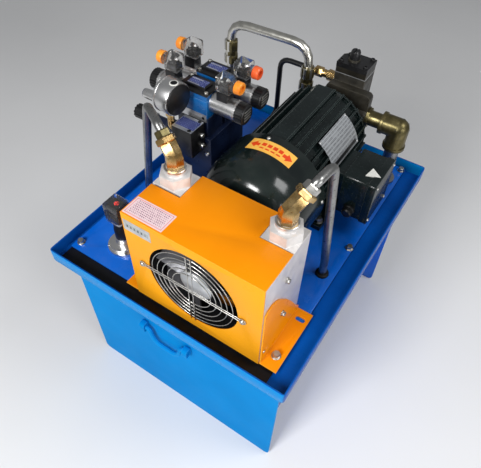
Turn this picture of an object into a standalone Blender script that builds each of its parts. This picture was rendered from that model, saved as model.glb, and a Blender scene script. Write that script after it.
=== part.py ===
"""Hydraulic power unit: a welded tank in a drip tray, with a motor, a vane pump, an air cooler and valves.

Metres, +Z up. It stands on its two leg plates at Z = 0. The cooler faces -Y, the terminal box faces +X.
"""

import math

import bmesh
import bpy
from mathutils import Matrix, Vector

# Driving dimensions
GAP = 0.0003
TRAY_W = 0.520
TRAY_D = 0.640
LIP_TOP = 0.414
FLOOR_TOP = 0.3865
SHEET = 0.003
TANK_HALF_W = 0.214
TANK_HALF_D = 0.2845
TANK_BOTTOM = 0.050
WALL = 0.004
LEG_HALF_W = 0.241
COVER = (-0.248, 0.220, -0.280, 0.312)
MOUTH = (-0.209, 0.206, -0.276, 0.276)
COVER_BOTTOM = 0.3891
COVER_TOP = 0.3941
DECK = COVER_TOP + GAP

COOLER = (-0.064, 0.193, -0.2896, -0.1556)
COOLER_BOTTOM = 0.3978
COOLER_TOP = 0.612
FAN_X = 0.0645
FAN_Z = 0.5065
FAN_R = 0.0865
PORT_Y = -0.187
PORT_XL = -0.036
PORT_XR = 0.165
BOSS_TOP = 0.642

MOTOR_X = 0.0450
MOTOR_Z = 0.506
FIN_R = 0.0965
FRAME_R = 0.0860
BORE_R = 0.0785
COWL_R = 0.1055
COWL_REAR = 0.000
COWL_SHOULDER = -0.068
COWL_FRONT = -0.126
FRAME_FRONT = 0.001
FRAME_REAR = 0.204
FLANGE_REAR = 0.222

PUMP_REAR = 0.312
PUMP_BLOCK = (0.026, 0.0925, 0.262, 0.3125)
PUMP_BLOCK_TOP = 0.6037
SCREW = (0.054, 0.285)
SUCTION_X = 0.188
SUCTION_Y = 0.256
SUCTION_Z = 0.5315
DISCHARGE_Y = 0.283
DISCHARGE_Z = 0.577

VALVE_X = -0.1135
VALVE_Z = 0.645
STATION_Y = (-0.0176, 0.0385)
STATION = ("front", "rear")
MANIFOLD = (-0.160, -0.072, -0.045, 0.066)
MANIFOLD_TOP = 0.5800
SANDWICH_TOP = 0.6200
RELIEF = (-0.033, 0.564)

GAUGE = (-0.1282, -0.0745, 0.6684)
GAUGE_R = 0.0297
GAUGE_YAW = 0.11
SWITCH_X = -0.161
SWITCH_Y = -0.218
HANDLE_Y = -0.2975
HANDLE_Z = 0.285
BAIL_R = 0.0050


def material(name, colour, metallic, roughness):
    made = bpy.data.materials.new(name)
    made.use_nodes = True
    shader = made.node_tree.nodes["Principled BSDF"]
    shader.inputs["Base Color"].default_value = (*colour, 1.0)
    shader.inputs["Metallic"].default_value = metallic
    shader.inputs["Roughness"].default_value = roughness
    made.diffuse_color = (*colour, 1.0)
    return made


def box(x0, x1, y0, y1, z0, z1):
    made = bmesh.new()
    size = (x1 - x0, y1 - y0, z1 - z0)
    centre = ((x0 + x1) / 2, (y0 + y1) / 2, (z0 + z1) / 2)
    place = Matrix.Translation(centre) @ Matrix.Diagonal((*size, 1.0))
    bmesh.ops.create_cube(made, size=1.0, matrix=place)
    return made


def rounded_box(x0, x1, y0, y1, z0, z1, radius, axis="Z", steps=3):
    """A box whose four edges along one axis are rounded."""
    made = box(x0, x1, y0, y1, z0, z1)
    index = "XYZ".index(axis)
    edges = [e for e in made.edges if abs((e.verts[0].co - e.verts[1].co).normalized()[index]) > 0.9]
    bmesh.ops.bevel(made, geom=edges, offset=radius, segments=steps, profile=0.5, affect="EDGES")
    return made


def frame_along(direction):
    """Rotation that turns +Z onto the direction."""
    return Vector((0, 0, 1)).rotation_difference(Vector(direction).normalized()).to_matrix().to_4x4()


def rod(start, end, radius, sides=24, end_radius=None):
    """A round bar, or a prism or cone, between two points."""
    start, end = Vector(start), Vector(end)
    made = bmesh.new()
    turn = Matrix.Translation((start + end) / 2) @ frame_along(end - start)
    top = radius if end_radius is None else end_radius
    bmesh.ops.create_cone(
        made,
        cap_ends=True,
        segments=sides,
        radius1=radius,
        radius2=top,
        depth=(end - start).length,
        matrix=turn,
    )
    return made


def lathe(profile, origin, direction, sides=40):
    """A solid of revolution from (radius, distance) pairs. A profile clear of the axis makes a ring."""
    made = bmesh.new()
    turn = Matrix.Translation(origin) @ frame_along(direction)
    rings = []
    for radius, along in profile:
        if radius < 1e-6:
            rings.append([made.verts.new(turn @ Vector((0, 0, along)))])
            continue
        ring = []
        for k in range(sides):
            a = 2 * math.pi * k / sides
            co = Vector((radius * math.cos(a), radius * math.sin(a), along))
            ring.append(made.verts.new(turn @ co))
        rings.append(ring)
    closed = profile[0][0] > 1e-6
    pairs = list(zip(rings, rings[1:]))
    if closed:
        pairs.append((rings[-1], rings[0]))
    for first, second in pairs:
        for k in range(sides):
            n = (k + 1) % sides
            if len(first) == 1 and len(second) == 1:
                continue
            if len(first) == 1:
                made.faces.new((first[0], second[n], second[k]))
            elif len(second) == 1:
                made.faces.new((first[k], first[n], second[0]))
            else:
                made.faces.new((first[k], first[n], second[n], second[k]))
    return outward(made)


def outward(made):
    bmesh.ops.recalc_face_normals(made, faces=made.faces)
    if made.calc_volume(signed=True) < 0:
        bmesh.ops.reverse_faces(made, faces=made.faces)
    return made


def rounded_path(points, radius, steps=5):
    """The points with every corner replaced by an arc that fits."""
    points = [Vector(p) for p in points]
    found = [points[0]]
    for before, corner, after in zip(points, points[1:], points[2:]):
        back, ahead = (before - corner), (after - corner)
        reach = min(radius, back.length * 0.48, ahead.length * 0.48)
        start = corner + back.normalized() * reach
        end = corner + ahead.normalized() * reach
        for k in range(steps + 1):
            t = k / steps
            found.append(start * (1 - t) ** 2 + corner * 2 * t * (1 - t) + end * t * t)
    found.append(points[-1])
    return found


def tube(points, radius, bend=0.03, sides=12, steps=5):
    """A round bar swept along a path with rounded corners."""
    path = rounded_path(points, bend, steps)
    made = bmesh.new()
    tangents = []
    for k in range(len(path)):
        ahead = path[min(k + 1, len(path) - 1)] - path[max(k - 1, 0)]
        tangents.append(ahead.normalized())
    side = tangents[0].orthogonal().normalized()
    rings = []
    for point, tangent in zip(path, tangents):
        side = (side - tangent * side.dot(tangent)).normalized()
        other = tangent.cross(side)
        ring = []
        for k in range(sides):
            a = 2 * math.pi * k / sides
            ring.append(made.verts.new(point + radius * (side * math.cos(a) + other * math.sin(a))))
        rings.append(ring)
    for first, second in zip(rings, rings[1:]):
        for k in range(sides):
            n = (k + 1) % sides
            made.faces.new((first[k], first[n], second[n], second[k]))
    made.faces.new(rings[0])
    made.faces.new(rings[-1])
    return outward(made)


def extrusion(outline, axis, low, high):
    """An outline of (a, b) pairs pushed along an axis. The pairs are the two other axes in order."""
    made = bmesh.new()
    index = "XYZ".index(axis)

    def at(pair, along):
        co = list(pair)
        co.insert(index, along)
        return made.verts.new(co)

    bottom = [at(pair, low) for pair in outline]
    top = [at(pair, high) for pair in outline]
    made.faces.new(bottom)
    made.faces.new(top)
    for k in range(len(outline)):
        n = (k + 1) % len(outline)
        made.faces.new((bottom[k], bottom[n], top[n], top[k]))
    return outward(made)


def as_object(name, made):
    mesh = bpy.data.meshes.new(name)
    made.to_mesh(mesh)
    made.free()
    built = bpy.data.objects.new(name, mesh)
    bpy.context.scene.collection.objects.link(built)
    return built


def part(name, finish, adds, cuts=()):
    """One closed body: the first shape, with the others joined to it and the cutters taken away."""
    built = as_object(name, adds[0])
    built.data.materials.append(finish)
    work = [("UNION", made) for made in adds[1:]] + [("DIFFERENCE", made) for made in cuts]
    for number, (operation, made) in enumerate(work):
        helper = as_object(f"{name}_helper_{number}", made)
        helper.hide_render = True
        helper.display_type = "WIRE"
        step = built.modifiers.new(f"{operation}_{number}", "BOOLEAN")
        step.operation = operation
        step.solver = "EXACT"
        step.object = helper
    return built


def drill(x, y, radius, low, high, sides=14):
    return rod((x, y, low), (x, y, high), radius, sides)


def hexagon(x, y, radius, low, high):
    """An upright six-sided prism with two of its corners on the X axis."""
    outline = []
    for k in range(6):
        a = math.radians(60 * k)
        outline.append((x + radius * math.cos(a), y + radius * math.sin(a)))
    return extrusion(outline, "Z", low, high)


def ball(centre, radius):
    made = bmesh.new()
    bmesh.ops.create_icosphere(made, subdivisions=2, radius=radius, matrix=Matrix.Translation(centre))
    return made


def joined(pieces):
    """Separate shapes in one mesh, for use as a cutter whose shapes stay clear of each other."""
    made = bmesh.new()
    for piece in pieces:
        held = bpy.data.meshes.new("held")
        piece.to_mesh(held)
        piece.free()
        made.from_mesh(held)
        bpy.data.meshes.remove(held)
    return made


for old in list(bpy.data.objects):
    bpy.data.objects.remove(old, do_unlink=True)

BLUE = material("tank_blue", (0.01, 0.17, 0.62), 0.0, 0.35)
NAVY = material("manifold_navy", (0.015, 0.03, 0.09), 0.3, 0.4)
ORANGE = material("cooler_orange", (0.85, 0.36, 0.02), 0.0, 0.35)
ALUMINIUM = material("aluminium", (0.75, 0.75, 0.76), 1.0, 0.35)
STEEL = material("tube_steel", (0.6, 0.6, 0.6), 1.0, 0.25)
BRASS = material("brass", (0.7, 0.52, 0.25), 1.0, 0.3)
MOTOR_GREEN = material("motor_green", (0.02, 0.035, 0.035), 0.0, 0.3)
BLACK = material("black_plastic", (0.015, 0.015, 0.015), 0.0, 0.45)
IRON = material("pump_iron", (0.09, 0.08, 0.065), 0.4, 0.5)
RUBBER = material("rubber", (0.01, 0.01, 0.01), 0.0, 0.8)
CLEAR = material("clear_plastic", (0.55, 0.55, 0.55), 0.0, 0.15)
CORE = material("core_aluminium", (0.5, 0.5, 0.52), 1.0, 0.5)
LAMINATION = material("lamination", (0.3, 0.3, 0.32), 1.0, 0.45)
VALVE_BLUE = material("valve_blue", (0.02, 0.2, 0.5), 0.0, 0.4)


def reservoir():
    w, d = TANK_HALF_W, TANK_HALF_D
    top = FLOOR_TOP - SHEET - GAP
    part(
        "tank_body",
        BLUE,
        [box(-w, w, -d, d, TANK_BOTTOM, top)],
        [box(-w + WALL, w - WALL, -d + WALL, d - WALL, TANK_BOTTOM + WALL, top + 0.02)],
    )
    for name, sign in (("front_leg_plate", -1), ("rear_leg_plate", 1)):
        near = sign * (d + GAP)
        far = sign * (d + GAP + WALL)
        outline = leg_outline(top)
        part(name, BLUE, [extrusion(outline, "Y", min(near, far), max(near, far))])
    tray()
    x0, x1, y0, y1 = COVER
    holes = cover_holes(FLOOR_TOP - 0.01, COVER_TOP + 0.01)
    part(
        "cover_gasket",
        RUBBER,
        [box(x0, x1, -0.314, y1, FLOOR_TOP + GAP, COVER_BOTTOM - GAP)],
        [box(*MOUTH, FLOOR_TOP - 0.01, COVER_TOP)],
    )
    part("cover_plate", BLUE, [box(x0, x1, y0, y1, COVER_BOTTOM, COVER_TOP)], [holes])


def leg_outline(top):
    """Front outline of a leg plate, with its lower corners rounded."""
    found = [(LEG_HALF_W, top), (-LEG_HALF_W, top)]
    radius = 0.012
    for sign, start in ((-1, 180), (1, 270)):
        for k in range(5):
            a = math.radians(start + 22.5 * k)
            centre = sign * (LEG_HALF_W - radius)
            found.append((centre + radius * math.cos(a), radius + radius * math.sin(a)))
    return found


def tray():
    half_w, half_d = TRAY_W / 2, TRAY_D / 2
    low = FLOOR_TOP - SHEET
    outer = rounded_box(-half_w, half_w, -half_d, half_d, low, LIP_TOP, 0.006)
    inner_w, inner_d = half_w - SHEET, half_d - SHEET
    inner = box(-inner_w, inner_w, -inner_d, inner_d, FLOOR_TOP, LIP_TOP + 0.02)
    mouth = box(*MOUTH, low - 0.01, FLOOR_TOP + 0.01)
    part("drip_tray", BLUE, [outer], [inner, mouth])


def cover_holes(low, high):
    places = (
        (RETURN_L[-1][0], RETURN_L[-1][1], 0.0083),
        (RETURN_R[-1][0], RETURN_R[-1][1], 0.0083),
        (SUCTION_X, SUCTION_Y, 0.0161),
        (LOOP[-1][0], LOOP[-1][1], 0.0108),
        (SWITCH_X, SWITCH_Y, 0.0128),
    )
    return joined([drill(x, y, r, low, high) for x, y, r in places])


def handle():
    for name, x in (("handle_bracket_left", -0.064), ("handle_bracket_right", 0.041)):
        y1 = -TANK_HALF_D - WALL - 2 * GAP
        z0, z1 = HANDLE_Z - 0.012, HANDLE_Z + 0.012
        block = rounded_box(x - 0.006, x + 0.006, y1 - 0.016, y1, z0, z1, 0.005, "X")
        hole = rod((x - 0.02, HANDLE_Y, HANDLE_Z), (x + 0.02, HANDLE_Y, HANDLE_Z), BAIL_R + 0.0005, 12)
        part(name, BLUE, [block], [hole])
    ends = (-0.069, 0.046)
    inner = (-0.050, 0.027)
    drops = ((0.000, 0.0), (0.003, 0.024), (0.016, 0.044))
    left = [(inner[0] + run, HANDLE_Y, HANDLE_Z - drop) for run, drop in drops]
    right = [(inner[1] - run, HANDLE_Y, HANDLE_Z - drop) for run, drop in reversed(drops)]
    path = [(ends[0], HANDLE_Y, HANDLE_Z)] + left + right + [(ends[1], HANDLE_Y, HANDLE_Z)]
    bail = part("handle_bail", BLUE, [tube(path, BAIL_R, 0.012, 8, 3)])
    set_joint_origin(bail, (-0.0115, HANDLE_Y, HANDLE_Z))


def cooler():
    x0, x1, y0, y1 = COOLER
    z0, z1 = COOLER_BOTTOM, COOLER_TOP
    t = 0.002
    shell = box(x0, x1, y0, y1, z0, z1)
    cavity = box(x0 - 0.01, x1 + 0.01, y0 + t, y1 + 0.01, z0 + t, z1 - t)
    opening = rod((FAN_X, y0 - 0.01, FAN_Z), (FAN_X, y0 + 0.01, FAN_Z), FAN_R, 48)
    notch_l = box(x0 - 0.01, -0.0075, -0.2155, y1 + 0.01, z1 - 0.01, z1 + 0.01)
    notch_r = box(0.136, x1 + 0.01, -0.2135, y1 + 0.01, z1 - 0.01, z1 + 0.01)
    part("cooler_shroud", ORANGE, [shell], [cavity, opening, notch_l, notch_r])
    core_y0, core_y1 = -0.212, -0.160
    tanks = (
        ("cooler_end_tank_left", x0, -0.0085, PORT_XL),
        ("cooler_end_tank_right", 0.137, x1, PORT_XR),
    )
    for name, a, b, port in tanks:
        body = box(a, b, core_y0, core_y1, z0 + t + GAP, z1 + 0.0)
        outer = a if name.endswith("left") else b
        inner = outer + (0.004 if name.endswith("left") else -0.004)
        low, high = min(outer, inner), max(outer, inner)
        side = box(low, high, y0 + t + GAP, core_y0 + 0.01, z0 + t + GAP, z1 - t - GAP)
        boss = hexagon(port, PORT_Y, 0.0275, z1 - 0.004, z1 + 0.020)
        collar = drill(port, PORT_Y, 0.018, z1 + 0.018, BOSS_TOP, 28)
        bore = drill(port, PORT_Y, 0.0125, z1 - 0.03, BOSS_TOP + 0.01, 24)
        part(name, ALUMINIUM, [body, side, boss, collar], [bore])
    left, right = -0.0085 + GAP, 0.137 - GAP
    fins = []
    for k in range(9):
        z = z0 + 0.020 + k * 0.0222
        fins.append(box(left + 0.006, right - 0.006, core_y0 - 0.01, core_y0 + 0.008, z, z + 0.0125))
    block = box(left, right, core_y0, core_y1, z0 + t + GAP, z1 - t - GAP)
    part("cooler_core", CORE, [block], [joined(fins)])
    feet()
    cooler_fan()


def feet():
    x0, x1, y0, y1 = COOLER
    t = 0.003
    for name, edge, sign in (("cooler_foot_left", x0, -1), ("cooler_foot_right", x1, 1)):
        inner = edge - sign * 0.03
        outer = edge + sign * 0.033
        a, b = min(inner, outer), max(inner, outer)
        base = box(a, b, y0 + 0.003, y1, DECK, DECK + t)
        face0 = edge + sign * GAP
        face1 = edge + sign * (GAP + 0.0025)
        c, d = min(face0, face1), max(face0, face1)
        outline = [(y0 + 0.004, DECK + 0.001), (y1 - 0.001, DECK + 0.001), (y1 - 0.001, DECK + 0.012)]
        outline += [(-0.170, 0.424), (-0.193, 0.466), (-0.2163, 0.5025), (-0.2425, 0.535)]
        outline += [(-0.255, 0.5455), (-0.2678, 0.5505), (-0.279, 0.549), (y0 + 0.004, 0.541)]
        wall = extrusion(outline, "X", c, d)
        bolt_x = edge + sign * 0.0175
        front = drill(bolt_x, y0 + 0.030, 0.0045, DECK - 0.01, DECK + 0.01, 16)
        low, high = DECK - 0.01, DECK + 0.01
        slot = rounded_box(bolt_x - 0.009, bolt_x + 0.009, y1 - 0.0245, y1 - 0.0155, low, high, 0.0042)
        part(name, ORANGE, [base, wall], [front, slot])


def cooler_fan():
    front = COOLER[2]
    depth = 0.049
    ring_y0, ring_y1 = front + 0.0030, front + 0.0524
    inside, outside = FAN_R + 0.0015, FAN_R + 0.008
    profile = [(outside, 0.0), (outside, depth), (inside, depth), (inside, 0.0)]
    ring = lathe(profile, (FAN_X, ring_y0, FAN_Z), (0, 1, 0), 40)
    can = rod((FAN_X, ring_y1 - 0.010, FAN_Z), (FAN_X, ring_y1 + 0.014, FAN_Z), 0.030, 28)
    arms = []
    reach = FAN_R + 0.004
    y = ring_y1 - 0.004
    for k in range(4):
        a = math.radians(45 + 90 * k)
        tip = (FAN_X + reach * math.cos(a), y, FAN_Z + reach * math.sin(a))
        arms.append(rod((FAN_X, y, FAN_Z), tip, 0.0035, 8))
    part("cooler_fan_frame", BLACK, [ring, can] + arms)
    hub = rod((FAN_X, front + 0.0135, FAN_Z), (FAN_X, ring_y1 - 0.0115, FAN_Z), 0.031, 28)
    centre = (FAN_X, front + 0.025, FAN_Z)
    blades = [fan_blade(*centre, 0.028, FAN_R - 0.004, 360 / 7 * k, 0.011, 34) for k in range(7)]
    rotor = part("cooler_fan_rotor", STEEL, [hub] + blades)
    set_joint_origin(rotor, centre)
    guard()


def fan_blade(x, y, z, inner, outer, degrees, half_depth, span):
    """A flat pitched blade from the hub out, set round an axis along Y."""
    made = bmesh.new()
    a0 = math.radians(degrees)
    wide = math.radians(span)
    rows = []
    for radius in (inner, outer):
        spread = wide if radius == outer else wide * 1.1
        for angle, depth in ((a0 - spread / 2, half_depth), (a0 + spread / 2, -half_depth)):
            for thick in (-0.0008, 0.0008):
                co = (x + radius * math.cos(angle), y + depth + thick, z + radius * math.sin(angle))
                rows.append(made.verts.new(co))
    a, b, c, d, e, f, g, h = rows
    for corners in ((a, b, d, c), (e, g, h, f), (a, e, f, b), (c, d, h, g), (b, f, h, d), (a, c, g, e)):
        made.faces.new(corners)
    return outward(made)


def guard():
    """Concentric wires in the fan opening, tied by a cross of paired wires that lies on the shroud."""
    y = COOLER[2] - GAP - 0.0016
    radii = (0.0790, 0.0685, 0.0580, 0.0475, 0.0370)
    wires = [wire_ring(radius, COOLER[2] + 0.0006, 24) for radius in radii]
    rods = []
    for sign in (-1, 1):
        x, z = FAN_X + sign * 0.0042, FAN_Z + sign * 0.0028
        rods.append(rod((FAN_X - 0.0945, y, z), (FAN_X + 0.0945, y, z), 0.0015, 6))
        rods.append(rod((x, y - 0.0002, FAN_Z - 0.0840), (x, y - 0.0002, FAN_Z + 0.0840), 0.0014, 6))
    ears = []
    for sign in (-1, 1):
        x = FAN_X + sign * 0.0975
        low, high = FAN_Z - 0.0070, FAN_Z + 0.0070
        ears.append(rounded_box(x - 0.0055, x + 0.0055, y - 0.0012, y + 0.0013, low, high, 0.004, "Y"))
    part("cooler_fan_guard", STEEL, [rods[0]] + rods[1:] + ears + wires)


def wire_ring(radius, y, sides):
    profile = []
    for k in range(4):
        t = math.radians(90 * k)
        profile.append((radius + 0.0014 * math.cos(t), 0.0014 * math.sin(t)))
    return lathe(profile, (FAN_X, y, FAN_Z), (0, 1, 0), sides)


def set_joint_origin(built, point):
    """Keeps the origin at the scene's own, with an empty on the joint axis as the pivot."""
    pivot = bpy.data.objects.new(f"{built.name}_pivot", None)
    bpy.context.scene.collection.objects.link(pivot)
    pivot.location = point
    built.parent = pivot
    built.matrix_parent_inverse = Matrix.Translation(-Vector(point))


KNEE_Z = 0.662
ADAPTERS = {
    "left": (PORT_XL, Vector((-0.6734, 0.2158, 0.7071)), 0.0432),
    "right": (PORT_XR, Vector((0.3709, 0.6020, 0.7071)), 0.0505),
}


def adapter_end(side, beyond=0.0):
    port, ahead, length = ADAPTERS[side]
    return tuple(Vector((port, PORT_Y, KNEE_Z)) + ahead * (length + beyond))


RETURN_L = [
    adapter_end("left", GAP),
    (-0.0718, -0.1755, 0.6997),
    (-0.1245, -0.1407, 0.6930),
    (-0.2000, -0.0937, 0.425),
    (-0.2000, -0.0937, 0.300),
]
RETURN_R = [
    adapter_end("right", GAP),
    (0.1867, -0.1518, 0.7034),
    (0.1898, -0.1085, 0.7010),
    (0.1956, -0.0616, 0.425),
    (0.1956, -0.0616, 0.300),
]
LOOP = [
    (-0.140, 0.0670, 0.470),
    (-0.140, 0.110, 0.470),
    (-0.225, 0.250, 0.470),
    (-0.225, 0.250, 0.641),
    (-0.030, 0.250, 0.645),
    (-0.030, 0.250, 0.300),
]
PRESSURE = [
    (PUMP_BLOCK[0] - 0.0523, DISCHARGE_Y, DISCHARGE_Z),
    (-0.113, DISCHARGE_Y, DISCHARGE_Z),
    (-0.113, DISCHARGE_Y, 0.430),
    (-0.113, 0.0670, 0.430),
]


def returns():
    for side, path in (("left", RETURN_L), ("right", RETURN_R)):
        port, ahead, _ = ADAPTERS[side]
        low = BOSS_TOP + GAP
        knee = Vector((port, PORT_Y, KNEE_Z))
        end = Vector(adapter_end(side))
        adds = [hexagon(port, PORT_Y, 0.0150, low, low + 0.011)]
        adds.append(drill(port, PORT_Y, 0.0118, low - 0.012, low + 0.002, 18))
        adds.append(drill(port, PORT_Y, 0.0120, low + 0.008, KNEE_Z, 18))
        adds.append(ball(knee, 0.0135))
        adds.append(rod(knee, end - ahead * 0.019, 0.0130, 6))
        adds.append(rod(end - ahead * 0.021, end - ahead * 0.011, 0.0165, 6))
        adds.append(rod(end - ahead * 0.012, end, 0.0125, 16))
        part(f"return_adapter_{side}", BRASS, adds)
        part(f"return_tube_{side}", STEEL, [tube(path, 0.0075, 0.018, 12, 4)])


def motor():
    fins = 30
    steps = ((-0.92, FRAME_R), (-0.30, FRAME_R), (-0.18, FIN_R), (0.18, FIN_R), (0.30, FRAME_R))
    outline = []
    for k in range(fins):
        for shift, radius in steps:
            a = math.pi / fins * (2 * k + 1 + shift)
            outline.append((MOTOR_X + radius * math.sin(a), MOTOR_Z + radius * math.cos(a)))
    adds = [extrusion(outline, "Y", FRAME_FRONT + GAP, FRAME_REAR)]
    rail_top = MOTOR_Z + 0.0965
    adds.append(box(MOTOR_X - 0.0255, MOTOR_X + 0.0085, 0.004, FRAME_REAR - 0.003, MOTOR_Z + 0.070, rail_top))
    for sign in (-1, 1):
        x = MOTOR_X + sign * 0.079
        adds.append(box(x - 0.018, x + 0.018, 0.030, 0.180, DECK, DECK + 0.011))
        web = [
            (x - sign * 0.013, DECK + 0.006),
            (x + sign * 0.010, DECK + 0.006),
            (MOTOR_X + sign * 0.0745, MOTOR_Z - 0.038),
            (MOTOR_X + sign * 0.052, MOTOR_Z - 0.062),
        ]
        for y in (0.036, 0.156):
            adds.append(extrusion(web, "Y", y, y + 0.018))
    adds.append(box(MOTOR_X + 0.070, 0.1570, 0.066, 0.142, 0.466, 0.530))
    cuts = [rod((MOTOR_X, -0.05, MOTOR_Z), (MOTOR_X, 0.30, MOTOR_Z), BORE_R, 32)]
    for sign in (-1, 1):
        for y in (0.045, 0.165):
            cuts.append(drill(MOTOR_X + sign * 0.086, y, 0.0055, DECK - 0.01, DECK + 0.02, 16))
    part("motor_frame", MOTOR_GREEN, adds, cuts)
    centre = (MOTOR_X, 0.0, MOTOR_Z)
    shield = [(0.0185, -0.022), (0.034, -0.022), (0.040, -0.012), (0.0915, -0.010), (0.0935, 0.0005)]
    shield += [(0.0774, 0.0005), (0.0774, 0.009), (0.072, 0.009), (0.066, -0.002), (0.0185, 0.004)]
    part("motor_front_shield", MOTOR_GREEN, [lathe(shield, centre, (0, 1, 0), 28)])
    rear_flange()
    cowl()
    rotating(centre)
    iron = [(0.0500, 0.050), (0.0780, 0.050), (0.0780, 0.160), (0.0500, 0.160)]
    winding = [(0.0530, 0.026), (0.0720, 0.026), (0.0720, 0.184), (0.0530, 0.184)]
    stator = lathe(iron, centre, (0, 1, 0), 24)
    coils = lathe(winding, centre, (0, 1, 0), 20)
    part("motor_stator", LAMINATION, [stator, coils])
    terminal_box()


def rear_flange():
    """The round end shield towards the pump, with the spigot that centres it in the frame."""
    low = FRAME_REAR + GAP
    deep = FLANGE_REAR - low
    spigot = BORE_R - GAP
    profile = [(0.0182, 0.002), (0.062, -0.002), (0.070, -0.008), (spigot, -0.008), (spigot, 0.0)]
    profile += [(0.0915, 0.0003), (0.0915, 0.004), (0.0780, deep), (0.0182, deep)]
    part("motor_rear_flange", MOTOR_GREEN, [lathe(profile, (MOTOR_X, low, MOTOR_Z), (0, 1, 0), 32)])


def cowl():
    """A drawn sheet cowl: a plain band, a rounded shoulder and a grille of slots in the front face."""
    outer = [(COWL_R, COWL_REAR), (COWL_R, COWL_SHOULDER)]
    inner_wall = 0.0018
    for k in range(1, 7):
        a = math.radians(15 * k)
        radius = 0.060 + (COWL_R - 0.060) * math.cos(a)
        outer.append((radius, COWL_SHOULDER + (COWL_FRONT - COWL_SHOULDER) * math.sin(a)))
    inner = []
    for radius, y in outer:
        deeper = inner_wall if y < COWL_SHOULDER - 0.001 else 0.0
        inner.append((max(radius - inner_wall, 0.0), y + deeper))
    profile = [(r, y) for r, y in outer] + [(0.0, COWL_FRONT)]
    back = [(0.0, COWL_FRONT + inner_wall)] + [(r, y) for r, y in reversed(inner)]
    shell = lathe(profile + back, (MOTOR_X, 0.0, MOTOR_Z), (0, 1, 0), 36)
    slots = []
    for ring, count in ((0.046, 12), (0.026, 8)):
        for k in range(count):
            a = 2 * math.pi * (k + 0.5) / count
            x = MOTOR_X + ring * math.cos(a)
            z = MOTOR_Z + ring * math.sin(a)
            slots.append(rod((x, COWL_FRONT - 0.01, z), (x, COWL_FRONT + 0.01, z), 0.0060, 6))
    part("motor_fan_cowl", MOTOR_GREEN, [shell], [joined(slots)])


def rotating(centre):
    """The motor's shaft and the pieces that turn with it."""
    axis = (0, 1, 0)
    steps = [(0.0, -0.090), (0.0110, -0.090), (0.0110, -0.030), (0.0150, -0.030), (0.0150, 0.040)]
    steps += [(0.0175, 0.040), (0.0175, 0.205), (0.0150, 0.205), (0.0150, 0.236), (0.0095, 0.236)]
    steps += [(0.0095, 0.296), (0.0, 0.296)]
    shaft = lathe(steps, centre, axis, 18)
    core = lathe([(0.0150, 0.052), (0.0492, 0.052), (0.0492, 0.158), (0.0150, 0.158)], centre, axis, 24)
    set_joint_origin(part("motor_rotor_shaft", STEEL, [shaft, core]), centre)
    hub = lathe([(0.0113, -0.086), (0.022, -0.086), (0.026, -0.048), (0.0113, -0.048)], centre, axis, 20)
    disc = lathe([(0.020, -0.058), (0.080, -0.058), (0.080, -0.054), (0.020, -0.054)], centre, axis, 24)
    vanes = []
    for k in range(8):
        turn = Matrix.Translation(centre) @ Matrix.Rotation(2 * math.pi * k / 8, 4, "Y")
        vane = box(0.0185, 0.0785, -0.084, -0.056, -0.0012, 0.0012)
        vane.transform(turn)
        vanes.append(vane)
    set_joint_origin(part("motor_fan", BLACK, [hub, disc] + vanes), centre)
    profile = [(0.0098, 0.258), (0.0270, 0.258), (0.0270, 0.286), (0.0098, 0.286)]
    rotor = lathe(profile, centre, axis, 24)
    slots = []
    for k in range(9):
        turn = Matrix.Translation(centre) @ Matrix.Rotation(2 * math.pi * k / 9, 4, "Y")
        slot = box(0.0200, 0.0300, 0.250, 0.290, -0.0008, 0.0008)
        slot.transform(turn)
        slots.append(slot)
    set_joint_origin(part("pump_rotor", LAMINATION, [rotor], slots), centre)


def terminal_box():
    x0, x1, y0, y1 = 0.1573, 0.2060, 0.056, 0.151
    z0, z1 = 0.440, 0.540
    shell = rounded_box(x0, x1, y0, y1, z0, z1, 0.008, "X")
    w = 0.004
    hollow = rounded_box(x0 + 0.003, x1 + 0.01, y0 + w, y1 - w, z0 + w, z1 - w, 0.006, "X")
    entry = rod((0.183, y0 - 0.01, 0.462), (0.183, y0 + 0.012, 0.462), 0.0105, 16)
    pass_through = rod((x0 - 0.01, 0.104, 0.498), (x0 + 0.02, 0.104, 0.498), 0.014, 20)
    part("motor_terminal_box", MOTOR_GREEN, [shell], [hollow, entry, pass_through])
    lid = rounded_box(x1 + GAP, x1 + 0.016, y0 - 0.002, y1 + 0.002, z0 - 0.002, z1 + 0.002, 0.009, "X")
    part("motor_terminal_lid", MOTOR_GREEN, [lid])


def control_outline():
    """Plan of the control block: a rectangle with its rear left corner cut off."""
    x0, x1, y0, y1 = PUMP_BLOCK
    return [(x0, y0), (x1, y0), (x1, y1), (x0 + 0.016, y1), (x0, y1 - 0.016)]


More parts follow.
